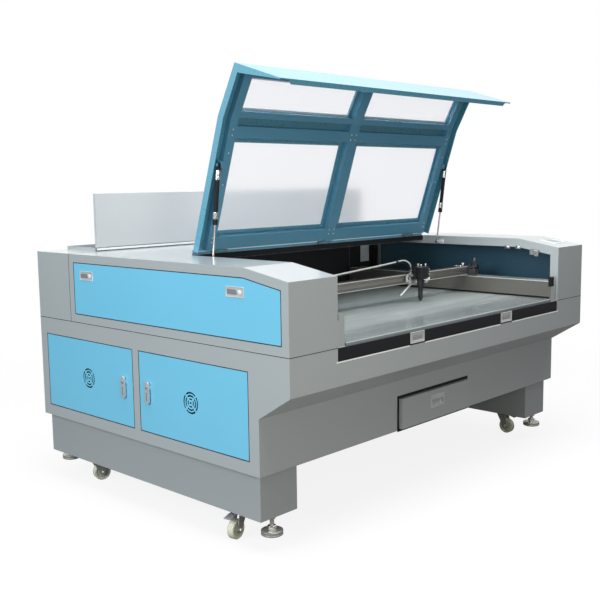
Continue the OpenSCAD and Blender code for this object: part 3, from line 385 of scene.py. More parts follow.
def turned(profile, at, axis=UP, sides=24, capped=True):
    """A profile of (radius, height) pairs carried round an axis: x = r cos a, y = r sin a, z = h."""
    radius, height = np.array(profile, float).T
    angle = np.linspace(0, 2 * np.pi, sides, endpoint=False)
    rings = np.empty((len(radius), sides, 3))
    rings[..., 0] = radius[:, None] * np.cos(angle)
    rings[..., 1] = radius[:, None] * np.sin(angle)
    rings[..., 2] = height[:, None]
    side = RIGHT if abs(axis[0]) < 0.9 else BACK
    return lofted(rings @ facing(axis, side) + np.array(at), capped)


def outline(width, height, corner, steps=5):
    """A rectangle with quarter circles for corners, as (points, 2)."""
    quarter = np.linspace(0, np.pi / 2, steps)
    turn = (quarter[None, :] + np.arange(4)[:, None] * np.pi / 2).ravel()
    centre = np.array([[1, 1], [-1, 1], [-1, -1], [1, -1]]) * [width / 2 - corner, height / 2 - corner]
    return np.repeat(centre, steps, axis=0) + corner * np.stack([np.cos(turn), np.sin(turn)], -1)


def plate(size, at, normal=UP, side=RIGHT, corner=None, edge=None):
    """A rounded rectangle carried through its thickness, its outline drawn in by `edge` at both faces."""
    width, height, thick = size
    corner = min(width, height) * 0.12 if corner is None else corner
    edge = min(thick * 0.3, corner * 0.9, 0.001) if edge is None else edge
    levels = [(-thick / 2, edge), (-thick / 2 + edge, 0), (thick / 2 - edge, 0), (thick / 2, edge)]
    rings = []
    for level, inset in levels:
        line = outline(width - 2 * inset, height - 2 * inset, corner - inset)
        rings.append(np.column_stack([line, np.full(len(line), level)]))
    return lofted(np.array(rings) @ facing(normal, side) + np.array(at))


def film(width, height, at, thick=0.0008, corner=0.0004):
    """A thin plate that faces the front, with its edges only just broken."""
    return plate((width, height, thick), at, FRONT, RIGHT, corner, edge=0.0001)


def spline(points, steps=12):
    """A Catmull-Rom curve: every span is a cubic whose slope at a point joins its two neighbours."""
    p = np.array(points, float)
    p = np.vstack([2 * p[0] - p[1], p, 2 * p[-1] - p[-2]])
    t = np.linspace(0, 1, steps, endpoint=False)[:, None, None]
    a, b, c, d = p[:-3], p[1:-2], p[2:-1], p[3:]
    curve = b + 0.5 * t * (c - a) + t**2 * (a - 2.5 * b + 2 * c - 0.5 * d)
    curve = curve + t**3 * (1.5 * (b - c) + 0.5 * (d - a))
    return np.vstack([curve.transpose(1, 0, 2).reshape(-1, 3), p[-2]])


def cable(points, radius, sides=10):
    """A circle carried along a curve, kept square to it: across = tangent x Y, over = across x tangent."""
    path = spline(points)
    along = np.gradient(path, axis=0)
    along /= np.linalg.norm(along, axis=1, keepdims=True)
    across = np.cross(along, BACK)
    across /= np.linalg.norm(across, axis=1, keepdims=True)
    over = np.cross(across, along)
    angle = np.linspace(0, 2 * np.pi, sides, endpoint=False)
    ring = radius * (np.cos(angle)[:, None, None] * across + np.sin(angle)[:, None, None] * over)
    return lofted(path[:, None] + ring.transpose(1, 0, 2))


def flat(width, height, inset=0.0, sunk=0.0005):
    """A rectangular section: u from -inset for the width, v from -sunk up to the height."""
    return [(-inset, -sunk), (width - inset, -sunk), (width - inset, height), (-inset, height)]


def strip(section, start, end, up):
    """A straight bar: a closed (u, v) section carried from start to end, v along `up`."""
    start, end = np.array(start, float), np.array(end, float)
    axes = facing(end - start, np.cross(up, end - start))
    points = np.column_stack([np.array(section, float), np.zeros(len(section))]) @ axes
    return lofted(np.array([start + points, end + points]))


# %% Copies and pieces
def copies(shape, places):
    """The same small surface at every place: one array of points plus one array of offsets."""
    points, faces = shape
    places = np.array(places, float)
    moved = (points[None] + places[:, None]).reshape(-1, 3)
    shift = len(points)
    return moved, [[corner + shift * n for corner in face] for n in range(len(places)) for face in faces]


def piece(name, shapes, body, slot, finish=None, smooth=35.0):
    """Joins surfaces into one mesh that rides on a body. Its normals are turned outwards at the end."""
    points, faces, count = [], [], 0
    for shape_points, shape_faces in shapes:
        points.append(shape_points)
        faces += [[corner + count for corner in face] for face in shape_faces]
        count += len(shape_points)
    mesh = bpy.data.meshes.new(name)
    mesh.from_pydata(np.vstack(points).tolist(), [], faces)
    work = bmesh.new()
    work.from_mesh(mesh)
    bmesh.ops.remove_doubles(work, verts=work.verts, dist=1e-7)
    bmesh.ops.recalc_face_normals(work, faces=work.faces)
    work.to_mesh(mesh)
    work.free()
    mesh.shade_smooth()
    mesh.set_sharp_from_angle(angle=math.radians(smooth))
    mesh.materials.append(finishes[finish or slot].material)
    made = bpy.data.objects.new(name, mesh)
    bpy.context.scene.collection.objects.link(made)
    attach(made, body)
    print(f"{name}: {len(mesh.polygons)} faces on {body}")
    return made


def pan_head(radius, normal):
    """A pan-head screw at the origin: a low dome with a small socket sunk in its top."""
    r = radius
    profile = [(r * 0.9, -r * 0.15), (r, 0), (r, r * 0.25), (r * 0.8, r * 0.55), (r * 0.45, r * 0.65)]
    profile += [(r * 0.38, r * 0.62), (r * 0.34, r * 0.3), (r * 0.02, r * 0.3)]
    return turned(profile, (0, 0, 0), normal, sides=12)


# %% [markdown]
# ## The hood's trim
# The hood is a folded sheet over a frame of square tube. Self-tapping screws hold the sheet to the
# tubes, and thin strips clamp each pane from inside. These belong to the hood, so they ride on it. It
# is easiest to lay them out with the hood closed, where everything is flat, and then carry the points
# round the hinge by the angle it stands open.

# %% Carry points from the closed hood to the open one
hinge_at = pivot("hood_hinge")
stand = math.radians(joints["hood_hinge"]["range_deg"][1])
cosine, sine = math.cos(stand), math.sin(stand)
hood_turn = np.array([[1, 0, 0], [0, cosine, -sine], [0, sine, cosine]])


def opened(shape):
    """Turns a closed-hood shape about the hinge line: y and z mix by the cosine and sine of the angle."""
    points, faces = shape
    return (points - hinge_at) @ hood_turn + hinge_at, faces


print("hood stands open", round(math.degrees(stand)), "degrees about", hinge_at.round(4))

# %% Screws along the tubes
SKIN = 0.0025
TUBE = 0.026
BEND_Y = -0.560
SLOPE_FALL, SLOPE_RUN = 0.037, 0.215
SLOPE = math.atan2(SLOPE_FALL, SLOPE_RUN)
SIDE_TUBE_X, MIDDLE_TUBE_X = 0.734, 0.016
tube_z = hinge_at[2] - SKIN - TUBE
screw_head = pan_head(0.0036, DOWN)
rows = (-0.046, -0.066, BEND_Y + 0.045, BEND_Y + 0.068)
places = [(side * x, y, tube_z) for side in SIDES for y in rows for x in (SIDE_TUBE_X, MIDDLE_TUBE_X)]
places += [(side * SIDE_TUBE_X, y, tube_z) for side in SIDES for y in np.linspace(-0.42, -0.16, 3)]
piece("hood_screws", [opened(copies(screw_head, places))], "hood", "zinc")

# %% Clamp strips round the panes, and sills whose pale colour is a painted highlight
PANE_X = (0.057, 0.703)
PANE_Y = (-0.465, -0.083)
pane_z = hinge_at[2] - SKIN - 0.004
clamp = [(-0.006, -0.0015), (0.006, -0.0015), (0.006, 0.001)]
clamp += [(0.0048, 0.0015), (-0.0048, 0.0015), (-0.006, 0.001)]
SILL_DEPTH = 0.0065
SILLS = ((-0.035, 0.014), (-0.164, 0.008))  # place up the slope from its bend, and width
off_slope = np.array((0, math.sin(SLOPE), -math.cos(SLOPE)))
up_slope = np.array((0, math.cos(SLOPE), math.sin(SLOPE)))
bend = np.array((0, BEND_Y, hinge_at[2]))
clamps, sills = [], []
for side in SIDES:
    near, far = side * PANE_X[0], side * PANE_X[1]
    for y in PANE_Y:
        clamps.append(strip(clamp, (near, y, pane_z), (far, y, pane_z), DOWN))
    for x in (near, far):
        clamps.append(strip(clamp, (x, PANE_Y[0], pane_z), (x, PANE_Y[1], pane_z), DOWN))
    for rise, wide in SILLS:
        middle = bend + up_slope * rise + off_slope * SILL_DEPTH
        section = flat(wide, 0.0015, wide / 2, 0.001)
        sills.append(strip(section, middle + (near, 0, 0), middle + (far, 0, 0), off_slope))
# The sills' pale colour is a painted highlight along the slope.
piece("pane_strips", [opened(shape) for shape in clamps], "hood", "hood_blue")
piece("pane_sill_highlights", [opened(shape) for shape in sills], "hood", "bright", "pale_strip")

# %% [markdown]
# ## Trim that follows a loop
# A bezel, a gasket and a seam line are the same thing: a small section carried round a closed outline.
# At a corner the section has to lie on the bisector of the two edges, and it has to be longer there.
# With the edges' outward normals a and b, that direction and length together are (a + b) / (1 + a.b).


# %% A section carried round a loop
def moulding(corners, section, normal):
    """Rings at the corners: corner + u x mitre + v x normal, with mitre = (a + b) / (1 + a.b)."""
    corners = np.array(corners, float)
    normal = np.array(normal, float) / np.linalg.norm(normal)
    edges = np.roll(corners, -1, axis=0) - corners
    edges /= np.linalg.norm(edges, axis=1, keepdims=True)
    after = np.cross(edges, normal)
    after *= np.sign(np.sum((corners + np.roll(corners, -1, axis=0) - 2 * corners.mean(axis=0)) * after))
    before = np.roll(after, 1, axis=0)
    mitre = (before + after) / (1 + np.sum(before * after, axis=1, keepdims=True))
    u, v = np.array(section, float).T
    rings = corners[:, None] + u[None, :, None] * mitre[:, None] + v[None, :, None] * normal
    return lofted(np.concatenate([rings, rings[:1]]), capped=False)


def window(normal, centre, width, height, side):
    """The four corners of a rectangle that faces `normal`, with its width along `side`."""
    across, up, _ = facing(normal, side)
    signs = np.array([[-1, -1], [1, -1], [1, 1], [-1, 1]]) / 2
    return np.array(centre) + signs @ np.array([across * width, up * height])


# %% [markdown]
# ## Seams and gaps
# Two cabinets are bolted together at one height, the housing behind is a third box, and every side
# door has a gap of two millimetres all round. Those joints read as thin dark lines.

# %% Dark lines where sheets meet
SIDE_X, FRONT_Y, REAR_Y = 1.050, -0.775, 0.775
SEAM_Z, TOP_Z, HOUSING_Y, POD_X = 0.743, 1.034, 0.526, 0.805
line = flat(0.0022, 0.0003, 0.0011, 0.001)
seams = []
for side in SIDES:
    x, out = side * SIDE_X, (side, 0, 0)
    seams.append(strip(line, (x, FRONT_Y, SEAM_Z), (x, REAR_Y, SEAM_Z), out))
    seams.append(strip(line, (x, HOUSING_Y, SEAM_Z), (x, HOUSING_Y, TOP_Z), out))
    seams.append(strip(line, (x, FRONT_Y, SEAM_Z), (side * POD_X, FRONT_Y, SEAM_Z), FRONT))
seams.append(strip(line, (-SIDE_X, HOUSING_Y, TOP_Z), (SIDE_X, HOUSING_Y, TOP_Z), UP))
seams.append(strip(line, (-SIDE_X, REAR_Y, SEAM_Z), (SIDE_X, REAR_Y, SEAM_Z), BACK))
piece("seam_lines", seams, "cabinet", "black_metal", "shadow")

LOWER_Z = (0.351, 0.669)
LOWER_Y = ((-0.570, 0.053), (0.099, 0.722))
UPPER_DOOR = [(-0.737, 0.781), (0.488, 0.781), (0.488, 0.996), (-0.5568, 0.996), (-0.737, 0.965)]
door_low, door_top = LOWER_Z
doors = [(-1, [(y0, door_low), (y1, door_low), (y1, door_top), (y0, door_top)]) for y0, y1 in LOWER_Y]
doors += [(side, UPPER_DOOR) for side in SIDES]
gap = flat(0.0031, 0.0003, -0.0003)
gaps = [moulding([(side * SIDE_X, y, z) for y, z in door], gap, (side, 0, 0)) for side, door in doors]
piece("door_gaps", gaps, "cabinet", "black_metal", "shadow")

# %% [markdown]
# ## Latches, handles and pulls
# Each paddle latch sits in a pressed bezel. Those of the upper doors have a key barrel, and those of the
# flap have grip slots. The lower doors have lift handles with their own barrels, and the drawer pull has
# ribs to grip. They are small, but they catch the light and say how big the cabinet is.


# %% Bezels and key barrels
def barrel(at, normal, radius):
    """A lock barrel: a stepped disc with a thin bar across its face."""
    r = radius
    body = turned([(r, -0.001), (r, 0.0012), (r * 0.8, 0.002), (r * 0.05, 0.002)], at, normal, sides=20)
    raised = np.array(at) + np.array(normal) * 0.0019
    return [body, plate((r * 0.25, r * 1.1, 0.0006), raised, normal, BACK)]


BEAD = [(-0.001, -0.001), (0.0025, -0.001), (0.0025, 0.0004)]
BEAD += [(0.0015, 0.0012), (0.0, 0.0012), (-0.001, 0.0005)]
PROUD = 0.0002  # how far a thin plate's middle stands off the sheet
LATCH_SIZE, LATCH_DROP = (0.088, 0.034), 0.012
BARREL_AT, RECESS_AT = -0.024, 0.016  # along the latch from its middle
for side, hand in HANDS:
    out, door = (side, 0, 0), f"side_door_{hand}"
    centres = {}
    for end in ("r", "f"):
        _, y, z = pivot(f"side_latch_{hand}{end}_pivot")
        centres[end] = np.array((side * SIDE_X, y, z - LATCH_DROP))
    bezels = [moulding(window(out, centre, *LATCH_SIZE, BACK), BEAD, out) for centre in centres.values()]
    piece(f"latch_bezels_{hand}", bezels, door, "zinc")
    for end, centre in centres.items():
        latch = f"side_latch_{hand}{end}"
        lock = barrel(centre + (0, BARREL_AT, 0), out, 0.0085)
        piece(f"latch_barrel_{hand}{end}", lock, latch, "zinc", "pale_strip")
        # A darker plate on the latch is painted shade in its finger recess.
        recess = plate((0.048, 0.018, 0.0006), centre + (side * PROUD, RECESS_AT, 0), out, BACK)
        piece(f"latch_recess_{hand}{end}", [recess], latch, "zinc", "dark_zinc")

# %% Flap latches: a bezel on the flap, slots and a lower edge on the latch
FLAP_LATCH_DROP = 0.0145
SLOT_RISE, EDGE_RISE = (-0.005, 0.001, 0.007), -0.0145
slot = film(0.062, 0.0026, (0, 0, 0), 0.0006)
for _, hand in HANDS:
    latch = f"flap_latch_{hand}"
    x, _, z = pivot(f"{latch}_pivot")
    centre = np.array((x, FRONT_Y, z - FLAP_LATCH_DROP))
    ring = moulding(window(FRONT, centre, 0.088, 0.039, RIGHT), BEAD, FRONT)
    piece(f"flap_bezel_{hand}", [ring], "flap", "zinc")
    # Darker films on the latch are painted shade in its grip slots.
    slots = copies(slot, [centre + (0, -PROUD, rise) for rise in SLOT_RISE])
    piece(f"flap_slots_{hand}", [slots], latch, "zinc", "dark_zinc")
    edge = plate((0.080, 0.004, 0.0006), centre + (0, -PROUD, EDGE_RISE), FRONT)
    piece(f"flap_edge_{hand}", [edge], latch, "zinc", "pale_strip")

# %% Handles, the drawer's pull and the painted shadow round the drawer
HANDLE_STANDS, GROOVE_DROP = 0.011, 0.0365
for body in ("handle_front", "handle_rear"):
    lock_at = pivot(f"{body}_turn") - (HANDLE_STANDS, 0, 0)
    parts = barrel(lock_at, LEFT, 0.0065)
    # A darker plate below the barrel is painted shade in the handle's groove.
    parts.append(plate((0.006, 0.034, 0.0012), lock_at - (PROUD, 0, GROOVE_DROP), LEFT, BACK))
    piece(f"{body}_barrel", parts, body, "zinc", "dark_zinc")

RIB_Y, RIB_Z = -0.6305, (0.3665, 0.3925)
rib = flat(0.002, 0.004)
ribs = [strip(rib, (x, RIB_Y, RIB_Z[0]), (x, RIB_Y, RIB_Z[1]), FRONT) for x in np.linspace(-0.036, 0.034, 11)]
piece("pull_ribs", ribs, "drawer_box", "zinc")
# A black frame just behind the drawer's proud front is painted shadow round it.
drawer_ring = window(FRONT, (0, -0.6232, 0.3705), 0.500, 0.127, RIGHT)
drawer_shadow = moulding(drawer_ring, flat(0.016, 0.0006, 0.004, 0.0), FRONT)
piece("drawer_shadow", [drawer_shadow], "cabinet", "black_metal", "rubber")

# %% Painted highlights under the flap and along the hatch's hem
SILL_SPANS = ((-0.813, -0.384), (-0.282, 0.282), (0.384, 0.813))  # clear of the bezels of the open flap
SILL_Y, SILL_Z = FRONT_Y - 0.0001, 0.6912
# A white strip along the lower body's top edge is a painted highlight.
sill = [film(end - start, 0.0050, (0.5 * (start + end), SILL_Y, SILL_Z)) for start, end in SILL_SPANS]
piece("flap_sill_highlight", sill, "cabinet", "bracket", "white_card")
low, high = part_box("hatch")
# A pale strip along the hatch's lower hem is a painted highlight.
hem = film(high[0] - low[0], 0.0090, (0.5 * (low[0] + high[0]), low[1], low[2] + 0.0060))
piece("hatch_hem_highlight", [hem], "tube_hatch", "hatch_grey", "pale_strip")

# %% [markdown]
# ## The gantry
# The beam is an aluminium profile with a ground steel guide on its face and a flat belt along its
# top. Each Y rail carries the same guide, held down by countersunk screws. The guides here are skins
# about a tenth of a millimetre proud of the frame's own, so they look ground and the frame keeps its
# shape.

# %% Rails: guides, screws, bumpers and end plates
RAIL_X, RAIL_TOP, RAIL_Y = 0.776, 0.838, (-0.757, 0.478)
RAIL_END_Y, RAIL_INNER_X = -0.7652, 0.7572
SCREW_STEP = 0.06
skin = [(-0.00615, -0.001), (0.00615, -0.001), (0.00615, 0.0079)]
skin += [(0.0059, 0.0081), (-0.0059, 0.0081), (-0.00615, 0.0079)]
hole = turned([(0.0030, -0.0004), (0.0030, 0.0003), (0.0006, 0.0003)], (0, 0, 0), UP, sides=12)
buffer = [(0.009, 0.0), (0.009, 0.004), (0.006, 0.010), (0.0005, 0.012)]
guides, dots, bumpers, caps = [], [], [], []
for side in SIDES:
    x = side * RAIL_X
    guides.append(strip(skin, (x, RAIL_Y[0], RAIL_TOP), (x, RAIL_Y[1], RAIL_TOP), UP))
    along = np.arange(RAIL_Y[0] + SCREW_STEP / 2, RAIL_Y[1], SCREW_STEP)
    dots.append(copies(hole, [(x, y, RAIL_TOP + 0.00795) for y in along]))
    bumpers.append(turned(buffer, (x, -0.758, 0.852), BACK))
for tall, wide, z in ((0.097, 0.038, 0.7905), (0.023, 0.030, 0.8505)):
    caps += [plate((wide, tall, 0.0006), (side * RAIL_X, RAIL_END_Y, z), FRONT) for side in SIDES]
bumpers.append(plate((0.028, 0.044, 0.015), (0.7680, -0.7592, 0.836), BACK))
piece("rail_guides", guides, "cabinet", "bright")
piece("rail_caps", caps, "cabinet", "body_grey")
# A dark line along the right rail's foot is painted shadow, and a pale line along its top inner edge is a painted
# highlight.
foot_shadow = plate((1.235, 0.008, 0.0008), (0.7567, -0.1395, 0.7600), LEFT, BACK, 0.0004, 0.0001)
piece("rail_foot_shadow", [foot_shadow], "cabinet", "black_metal", "rubber")
highlight_line = flat(0.0024, 0.0004, 0.0012)
rim_ends = [(RAIL_INNER_X, y, RAIL_TOP - 0.0008) for y in RAIL_Y]
piece("rail_rim_highlight", [strip(highlight_line, *rim_ends, LEFT)], "cabinet", "bright", "pale_strip")
piece("rail_screws", dots, "cabinet", "black_metal")
piece("rail_bumpers", bumpers, "cabinet", "black_metal", "rubber")

# %% Beam: guide, edges, belt and end fittings
BEAM_X, BEAM_FACE_Y, BEAM_Z = 0.757, -0.300, (0.845, 0.887)


def across(section, y, z, up):
    """A strip along the whole beam."""
    return strip(section, (-BEAM_X, y, z), (BEAM_X, y, z), up)


guide = across(skin, BEAM_FACE_Y, sum(BEAM_Z) / 2, FRONT)
piece("beam_guide", [guide], "gantry", "steel")
# Pale lines along the beam's top and bottom edges are painted highlights.
edges = [across(highlight_line, BEAM_FACE_Y, z, FRONT) for z in (BEAM_Z[0] + 0.001, BEAM_Z[1] - 0.001)]
piece("beam_edge_highlights", edges, "gantry", "bright", "pale_strip")
belt = across(flat(0.010, 0.0015, 0.005, 0.0), -0.268, 0.8882, UP)
piece("beam_belt", [belt], "gantry", "black_metal", "rubber")
ends = [plate((0.046, 0.046, 0.004), (side * (BEAM_X - 0.030), -0.272, 0.8895)) for side in SIDES]
knob = [(0.004, 0.0), (0.004, 0.006), (0.010, 0.007), (0.010, 0.013), (0.008, 0.015), (0.0005, 0.015)]
bolt_places = [(side * (BEAM_X - 0.045), y, 0.8915) for side in SIDES for y in (-0.288, -0.262)]
ends += [turned(knob, (0.735, -0.286, 0.8905)), copies(pan_head(0.0036, UP), bolt_places)]
piece("beam_ends", ends, "gantry", "bracket", "bright")
FLAG_Z = 0.884
flag = [
    plate((0.070, 0.022, 0.003), (0.828, -0.288, FLAG_Z), FRONT),
    turned([(0.0045, 0.0), (0.0045, 0.120), (0.0005, 0.120)], (0.765, -0.296, FLAG_Z), (1, 0, 0.12)),
    copies(pan_head(0.004, FRONT), [(x, -0.2896, FLAG_Z) for x in (0.802, 0.852)]),
]
piece("sensor_flag", flag, "gantry", "bracket", "bright")

# %% The cutting head, in detail
HEAD_X, HEAD_Y = 0.290, -0.342
AXIS = (HEAD_X, HEAD_Y, 0.0)
collar = [(0.0135, 0.836), (0.0165, 0.837), (0.0165, 0.845), (0.0155, 0.847), (0.0155, 0.866)]
collar += [(0.018, 0.867), (0.018, 0.870), (0.0135, 0.870), (0.0135, 0.836)]
head_parts = [
    plate((0.062, 0.050, 0.046), (HEAD_X, -0.345, 0.894), corner=0.004, edge=0.002),
    plate((0.054, 0.044, 0.006), (HEAD_X, -0.345, 0.8685), corner=0.004, edge=0.001),
    plate((0.066, 0.052, 0.004), (HEAD_X, -0.3435, 0.9195), corner=0.004, edge=0.001),
    plate((0.020, 0.018, 0.050), (HEAD_X - 0.034, -0.334, 0.889), corner=0.002, edge=0.001),
    turned(collar, AXIS, sides=32, capped=False),
    turned([(0.0042, 0.0), (0.0042, 0.004)], (HEAD_X, HEAD_Y - 0.018, 0.857), FRONT),
]
head_block = piece("head_block", head_parts, "head", "black_case")
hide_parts("laser_head")

screw = [(0.0022, -0.002), (0.0022, 0.004), (0.0052, 0.0045), (0.0052, 0.0125)]
top_screw = screw + [(0.0044, 0.0135), (0.0005, 0.0135)]
side_screw = screw + [(0.0044, 0.0135), (0.0005, 0.0125)]
clamp_screw = [(0.004, 0.0), (0.004, 0.022), (0.009, 0.023)]
clamp_screw += [(0.009, 0.033), (0.007, 0.035), (0.0005, 0.035)]
lever = [(0.003, 0.0), (0.003, 0.020), (0.0055, 0.021), (0.0055, 0.029), (0.0005, 0.029)]
adjusters = [
    turned(top_screw, (HEAD_X + dx, HEAD_Y + dy, 0.9215), sides=16)
    for dx, dy in ((-0.016, -0.014), (0.020, -0.014), (0.002, 0.016))
]
adjusters += [
    turned(side_screw, (HEAD_X + 0.030, HEAD_Y + dy, z), RIGHT, sides=16)
    for dy, z in ((-0.016, 0.908), (0.012, 0.908), (-0.016, 0.884))
]
adjusters.append(turned(clamp_screw, (HEAD_X + 0.013, HEAD_Y, 0.852), RIGHT))
adjusters.append(turned(lever, (HEAD_X + 0.010, HEAD_Y - 0.010, 0.862), (0.8, -0.5, 0.1)))
piece("head_adjusters", adjusters, "head", "bright")

tube = [(0.0126, 0.8724), (0.0126, 0.833), (0.0132, 0.8325), (0.0132, 0.8285), (0.0105, 0.8275)]
tube += [(0.0105, 0.782), (0.0112, 0.781), (0.0112, 0.7765), (0.0098, 0.775), (0.0060, 0.7625)]
tube += [(0.0016, 0.7622), (0.0012, 0.7680)]
nozzle_tube = piece("nozzle_barrel", [turned(tube, AXIS, sides=32)], "nozzle_tube", "black_case")
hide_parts("nozzle")

# %% The air hose, the cable beside it and their clips
HOSE_Y = -0.308
hose_path = [(-0.702, -0.2895, 0.8995), (-0.52, -0.2925, 0.9110), (-0.30, -0.3010, 0.9247)]
hose_path += [(0.0, HOSE_Y, 0.9435), (0.150, HOSE_Y, 0.9530), (0.192, HOSE_Y, 0.9560)]
hose_path += [(0.222, HOSE_Y, 0.9520), (0.248, HOSE_Y, 0.9395), (0.259, HOSE_Y, 0.9240)]
hose_path += [(0.260, HOSE_Y, 0.9060)]
pipe = piece("air_pipe", [cable(hose_path, 0.0036, sides=16)], "gantry", "hose")
clips = [plate((0.016, 0.038, 0.003), (-0.687, -0.297, 0.889))]
clips.append(plate((0.012, 0.012, 0.020), (-0.687, -0.2895, 0.894)))
clips.append(turned([(0.0075, -0.005), (0.0075, 0.005)], (0.150, HOSE_Y, 0.9530), (1, 0, 0.06), sides=20))
piece("pipe_clips", clips, "gantry", "black_metal")
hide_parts("air_hose")
cable_path = [(-0.70, -0.279, 0.8935), (-0.35, -0.287, 0.912), (0.0, -0.295, 0.933)]
cable_path += [(0.150, -0.299, 0.9425), (0.205, -0.299, 0.943), (0.232, -0.300, 0.936)]
cable_path += [(0.243, -0.302, 0.920), (0.244, -0.303, 0.903)]
piece("head_cable", [cable(cable_path, 0.0026)], "gantry", "black_metal", "rubber")

# %% Wires and the air fitting at the head
low_loop = [(0.262, -0.322, 0.882), (0.238, -0.334, 0.893), (0.214, -0.338, 0.889)]
low_loop += [(0.206, -0.334, 0.876), (0.220, -0.326, 0.867), (0.250, -0.322, 0.868)]
side_loop = [(0.258, -0.326, 0.896), (0.236, -0.330, 0.902), (0.212, -0.324, 0.896), (0.196, -0.320, 0.880)]
top_loop = [(0.270, -0.326, 0.928), (0.262, -0.320, 0.932), (0.250, -0.314, 0.916), (0.246, -0.316, 0.898)]
wires = [cable(low_loop, 0.0017), cable(side_loop, 0.0017), cable(top_loop, 0.0020)]
piece("head_wires", wires, "head", "black_metal", "rubber")
push_fit = [(0.005, 0), (0.005, 0.010), (0.007, 0.011), (0.007, 0.016)]
push_fit += [(0.0045, 0.017), (0.0045, 0.024), (0.0005, 0.024)]
fittings = [turned(push_fit, (0.262, -0.324, 0.884), (-1, -0.1, 0.1))]
fittings.append(plate((0.030, 0.034, 0.010), (0.222, -0.3215, 0.872), FRONT))
fittings.append(plate((0.010, 0.010, 0.004), (0.205, -0.328, 0.886), FRONT))
piece("head_fitting", fittings, "head", "bracket")

# %% [markdown]
# ## The work area
# The sill of the deck carries a black strip of painted shade and an aluminium strip. Dark sheets are
# painted shade on the partition behind the beam and round the pod, and the upper doors' inner faces get
# their blue darkened as painted shade. On the right an opening in the pod's rear wall shows the
# housing's pale back, with a cable duct beside it. Two light fittings and a catch stand under the pod's lip.

# %% Painted shade and strips on the deck's sill
# A black strip over the deck's front fold is painted shade under the hood.
piece("deck_shade_strip", [film(1.606, 0.025, (0, 0.0116, 1.0210))], "cabinet", "black_metal", "rubber")
piece("deck_upstand", [film(1.590, 0.0195, (0, 0.0130, 1.0430), 0.0010)], "cabinet", "frame_blue")
deck_strip = film(1.590, 0.0034, (0, 0.0124, 1.0462), 0.0010)
piece("deck_strip", [deck_strip], "cabinet", "bracket", "pale_strip")

# %% Painted shade on the partition, the doors and the pod, and the housing's pale back
SHADE_SHEET_Y = 0.5254
# A dark sheet over the partition's face is painted shade.
partition = film(1.600, 0.250, (0, SHADE_SHEET_Y, 0.882), corner=0.002)
piece("partition_shade", [partition], "cabinet", "black_metal", "shade_sheet")
# The upper doors' inner faces get their own blue, darkened as painted shade.
DOOR_SHADE_OUTLINE = [(-0.731, 0.787), (0.482, 0.787), (0.482, 0.990), (-0.5557, 0.990), (-0.731, 0.9598)]
for side, hand in HANDS:
    rings = [[(side * x, y, z) for y, z in DOOR_SHADE_OUTLINE] for x in (1.0352, 1.0362)]
    piece(f"door_shade_sheet_{hand}", [lofted(np.array(rings))], f"side_door_{hand}", "door_blue", "door_shade_teal")
# Dark sheets round the opening in the pod are painted shade.
POD_SHADE_X, POD_SHADE_Z = (0.803, 1.027), (0.757, 1.007)
OPENING_X, OPENING_Z = (0.902, 0.982), (0.858, 0.962)
spans = [
    ((POD_SHADE_X[0], OPENING_X[0]), POD_SHADE_Z),
    ((OPENING_X[1], POD_SHADE_X[1]), POD_SHADE_Z),
    (OPENING_X, (POD_SHADE_Z[0], OPENING_Z[0])),
    (OPENING_X, (OPENING_Z[1], POD_SHADE_Z[1])),
]
panels = [film(x1 - x0, z1 - z0, ((x0 + x1) / 2, SHADE_SHEET_Y, (z0 + z1) / 2)) for (x0, x1), (z0, z1) in spans]
piece("pod_shade", panels, "cabinet", "black_metal", "shade_sheet")
housing_back = film(0.190, 0.262, (0.948, 0.7708, 0.888), 0.0010, corner=0.002)
piece("housing_liner", [housing_back], "cabinet", "membrane", "white_card")
duct = plate((0.022, 0.240, 0.030), (1.006, 0.508, 0.880), FRONT, corner=0.003, edge=0.001)
piece("cable_duct", [duct], "cabinet", "black_metal", "rubber")

# %% Fittings under the pod's lip
LIGHT_Y, LIGHT_Z = (-0.500, -0.560), 0.990
lens = [(0.007, 0), (0.007, 0.005), (0.0005, 0.006)]
lights = [plate((0.030, 0.016, 0.003), (0.8035, y, LIGHT_Z), LEFT, BACK) for y in LIGHT_Y]
lights += [turned(lens, (0.802, y, LIGHT_Z), LEFT) for y in LIGHT_Y]
piece("lip_fittings", lights, "cabinet", "bright")
holder = [plate((0.050, 0.030, 0.006), (0.802, -0.650, 0.972), LEFT, BACK)]
holder.append(plate((0.020, 0.030, 0.014), (0.798, -0.664, 0.966), LEFT, BACK))
piece("lip_catch", holder, "cabinet", "zinc", "dark_zinc")
bolt = turned([(0.0045, 0), (0.0045, 0.020), (0.0005, 0.020)], (0.795, -0.650, 0.975), (-0.7, -0.7, 0))
piece("lip_catch_bolt", [bolt], "cabinet", "bright")

# %% [markdown]
# ## The gas struts
# A strut's cylinder is black, with a plated collar crimped under its eye and a second one at its lower
# end where the rod comes out. Each ball stud stands on a small plate.

# %% Collars, caps and stud plates
STRUT_X, STRUT_CORE = 0.780, 0.0091
STRUT_FOOT, STRUT_EYE = np.array((-0.095, 1.005)), np.array((-0.1425, 1.3935))
strut_way = (STRUT_FOOT - STRUT_EYE) / np.linalg.norm(STRUT_FOOT - STRUT_EYE)
COLLARS = ((0.020, 0.058, 0.0100), (0.186, 0.214, 0.0103), (0.028, 0.032, 0.0106), (0.046, 0.050, 0.0106))


def sleeve(x, start, end, radius, chamfer=0.0015):
    """A chamfered collar on the strut, between two distances from the eye."""
    length = end - start
    profile = [(STRUT_CORE, 0), (radius - chamfer, 0), (radius, chamfer), (radius, length - chamfer)]
    profile += [(radius - chamfer, length), (STRUT_CORE, length), (STRUT_CORE, 0)]
    return turned(profile, (x, *(STRUT_EYE + strut_way * start)), (0, *strut_way), sides=28, capped=False)


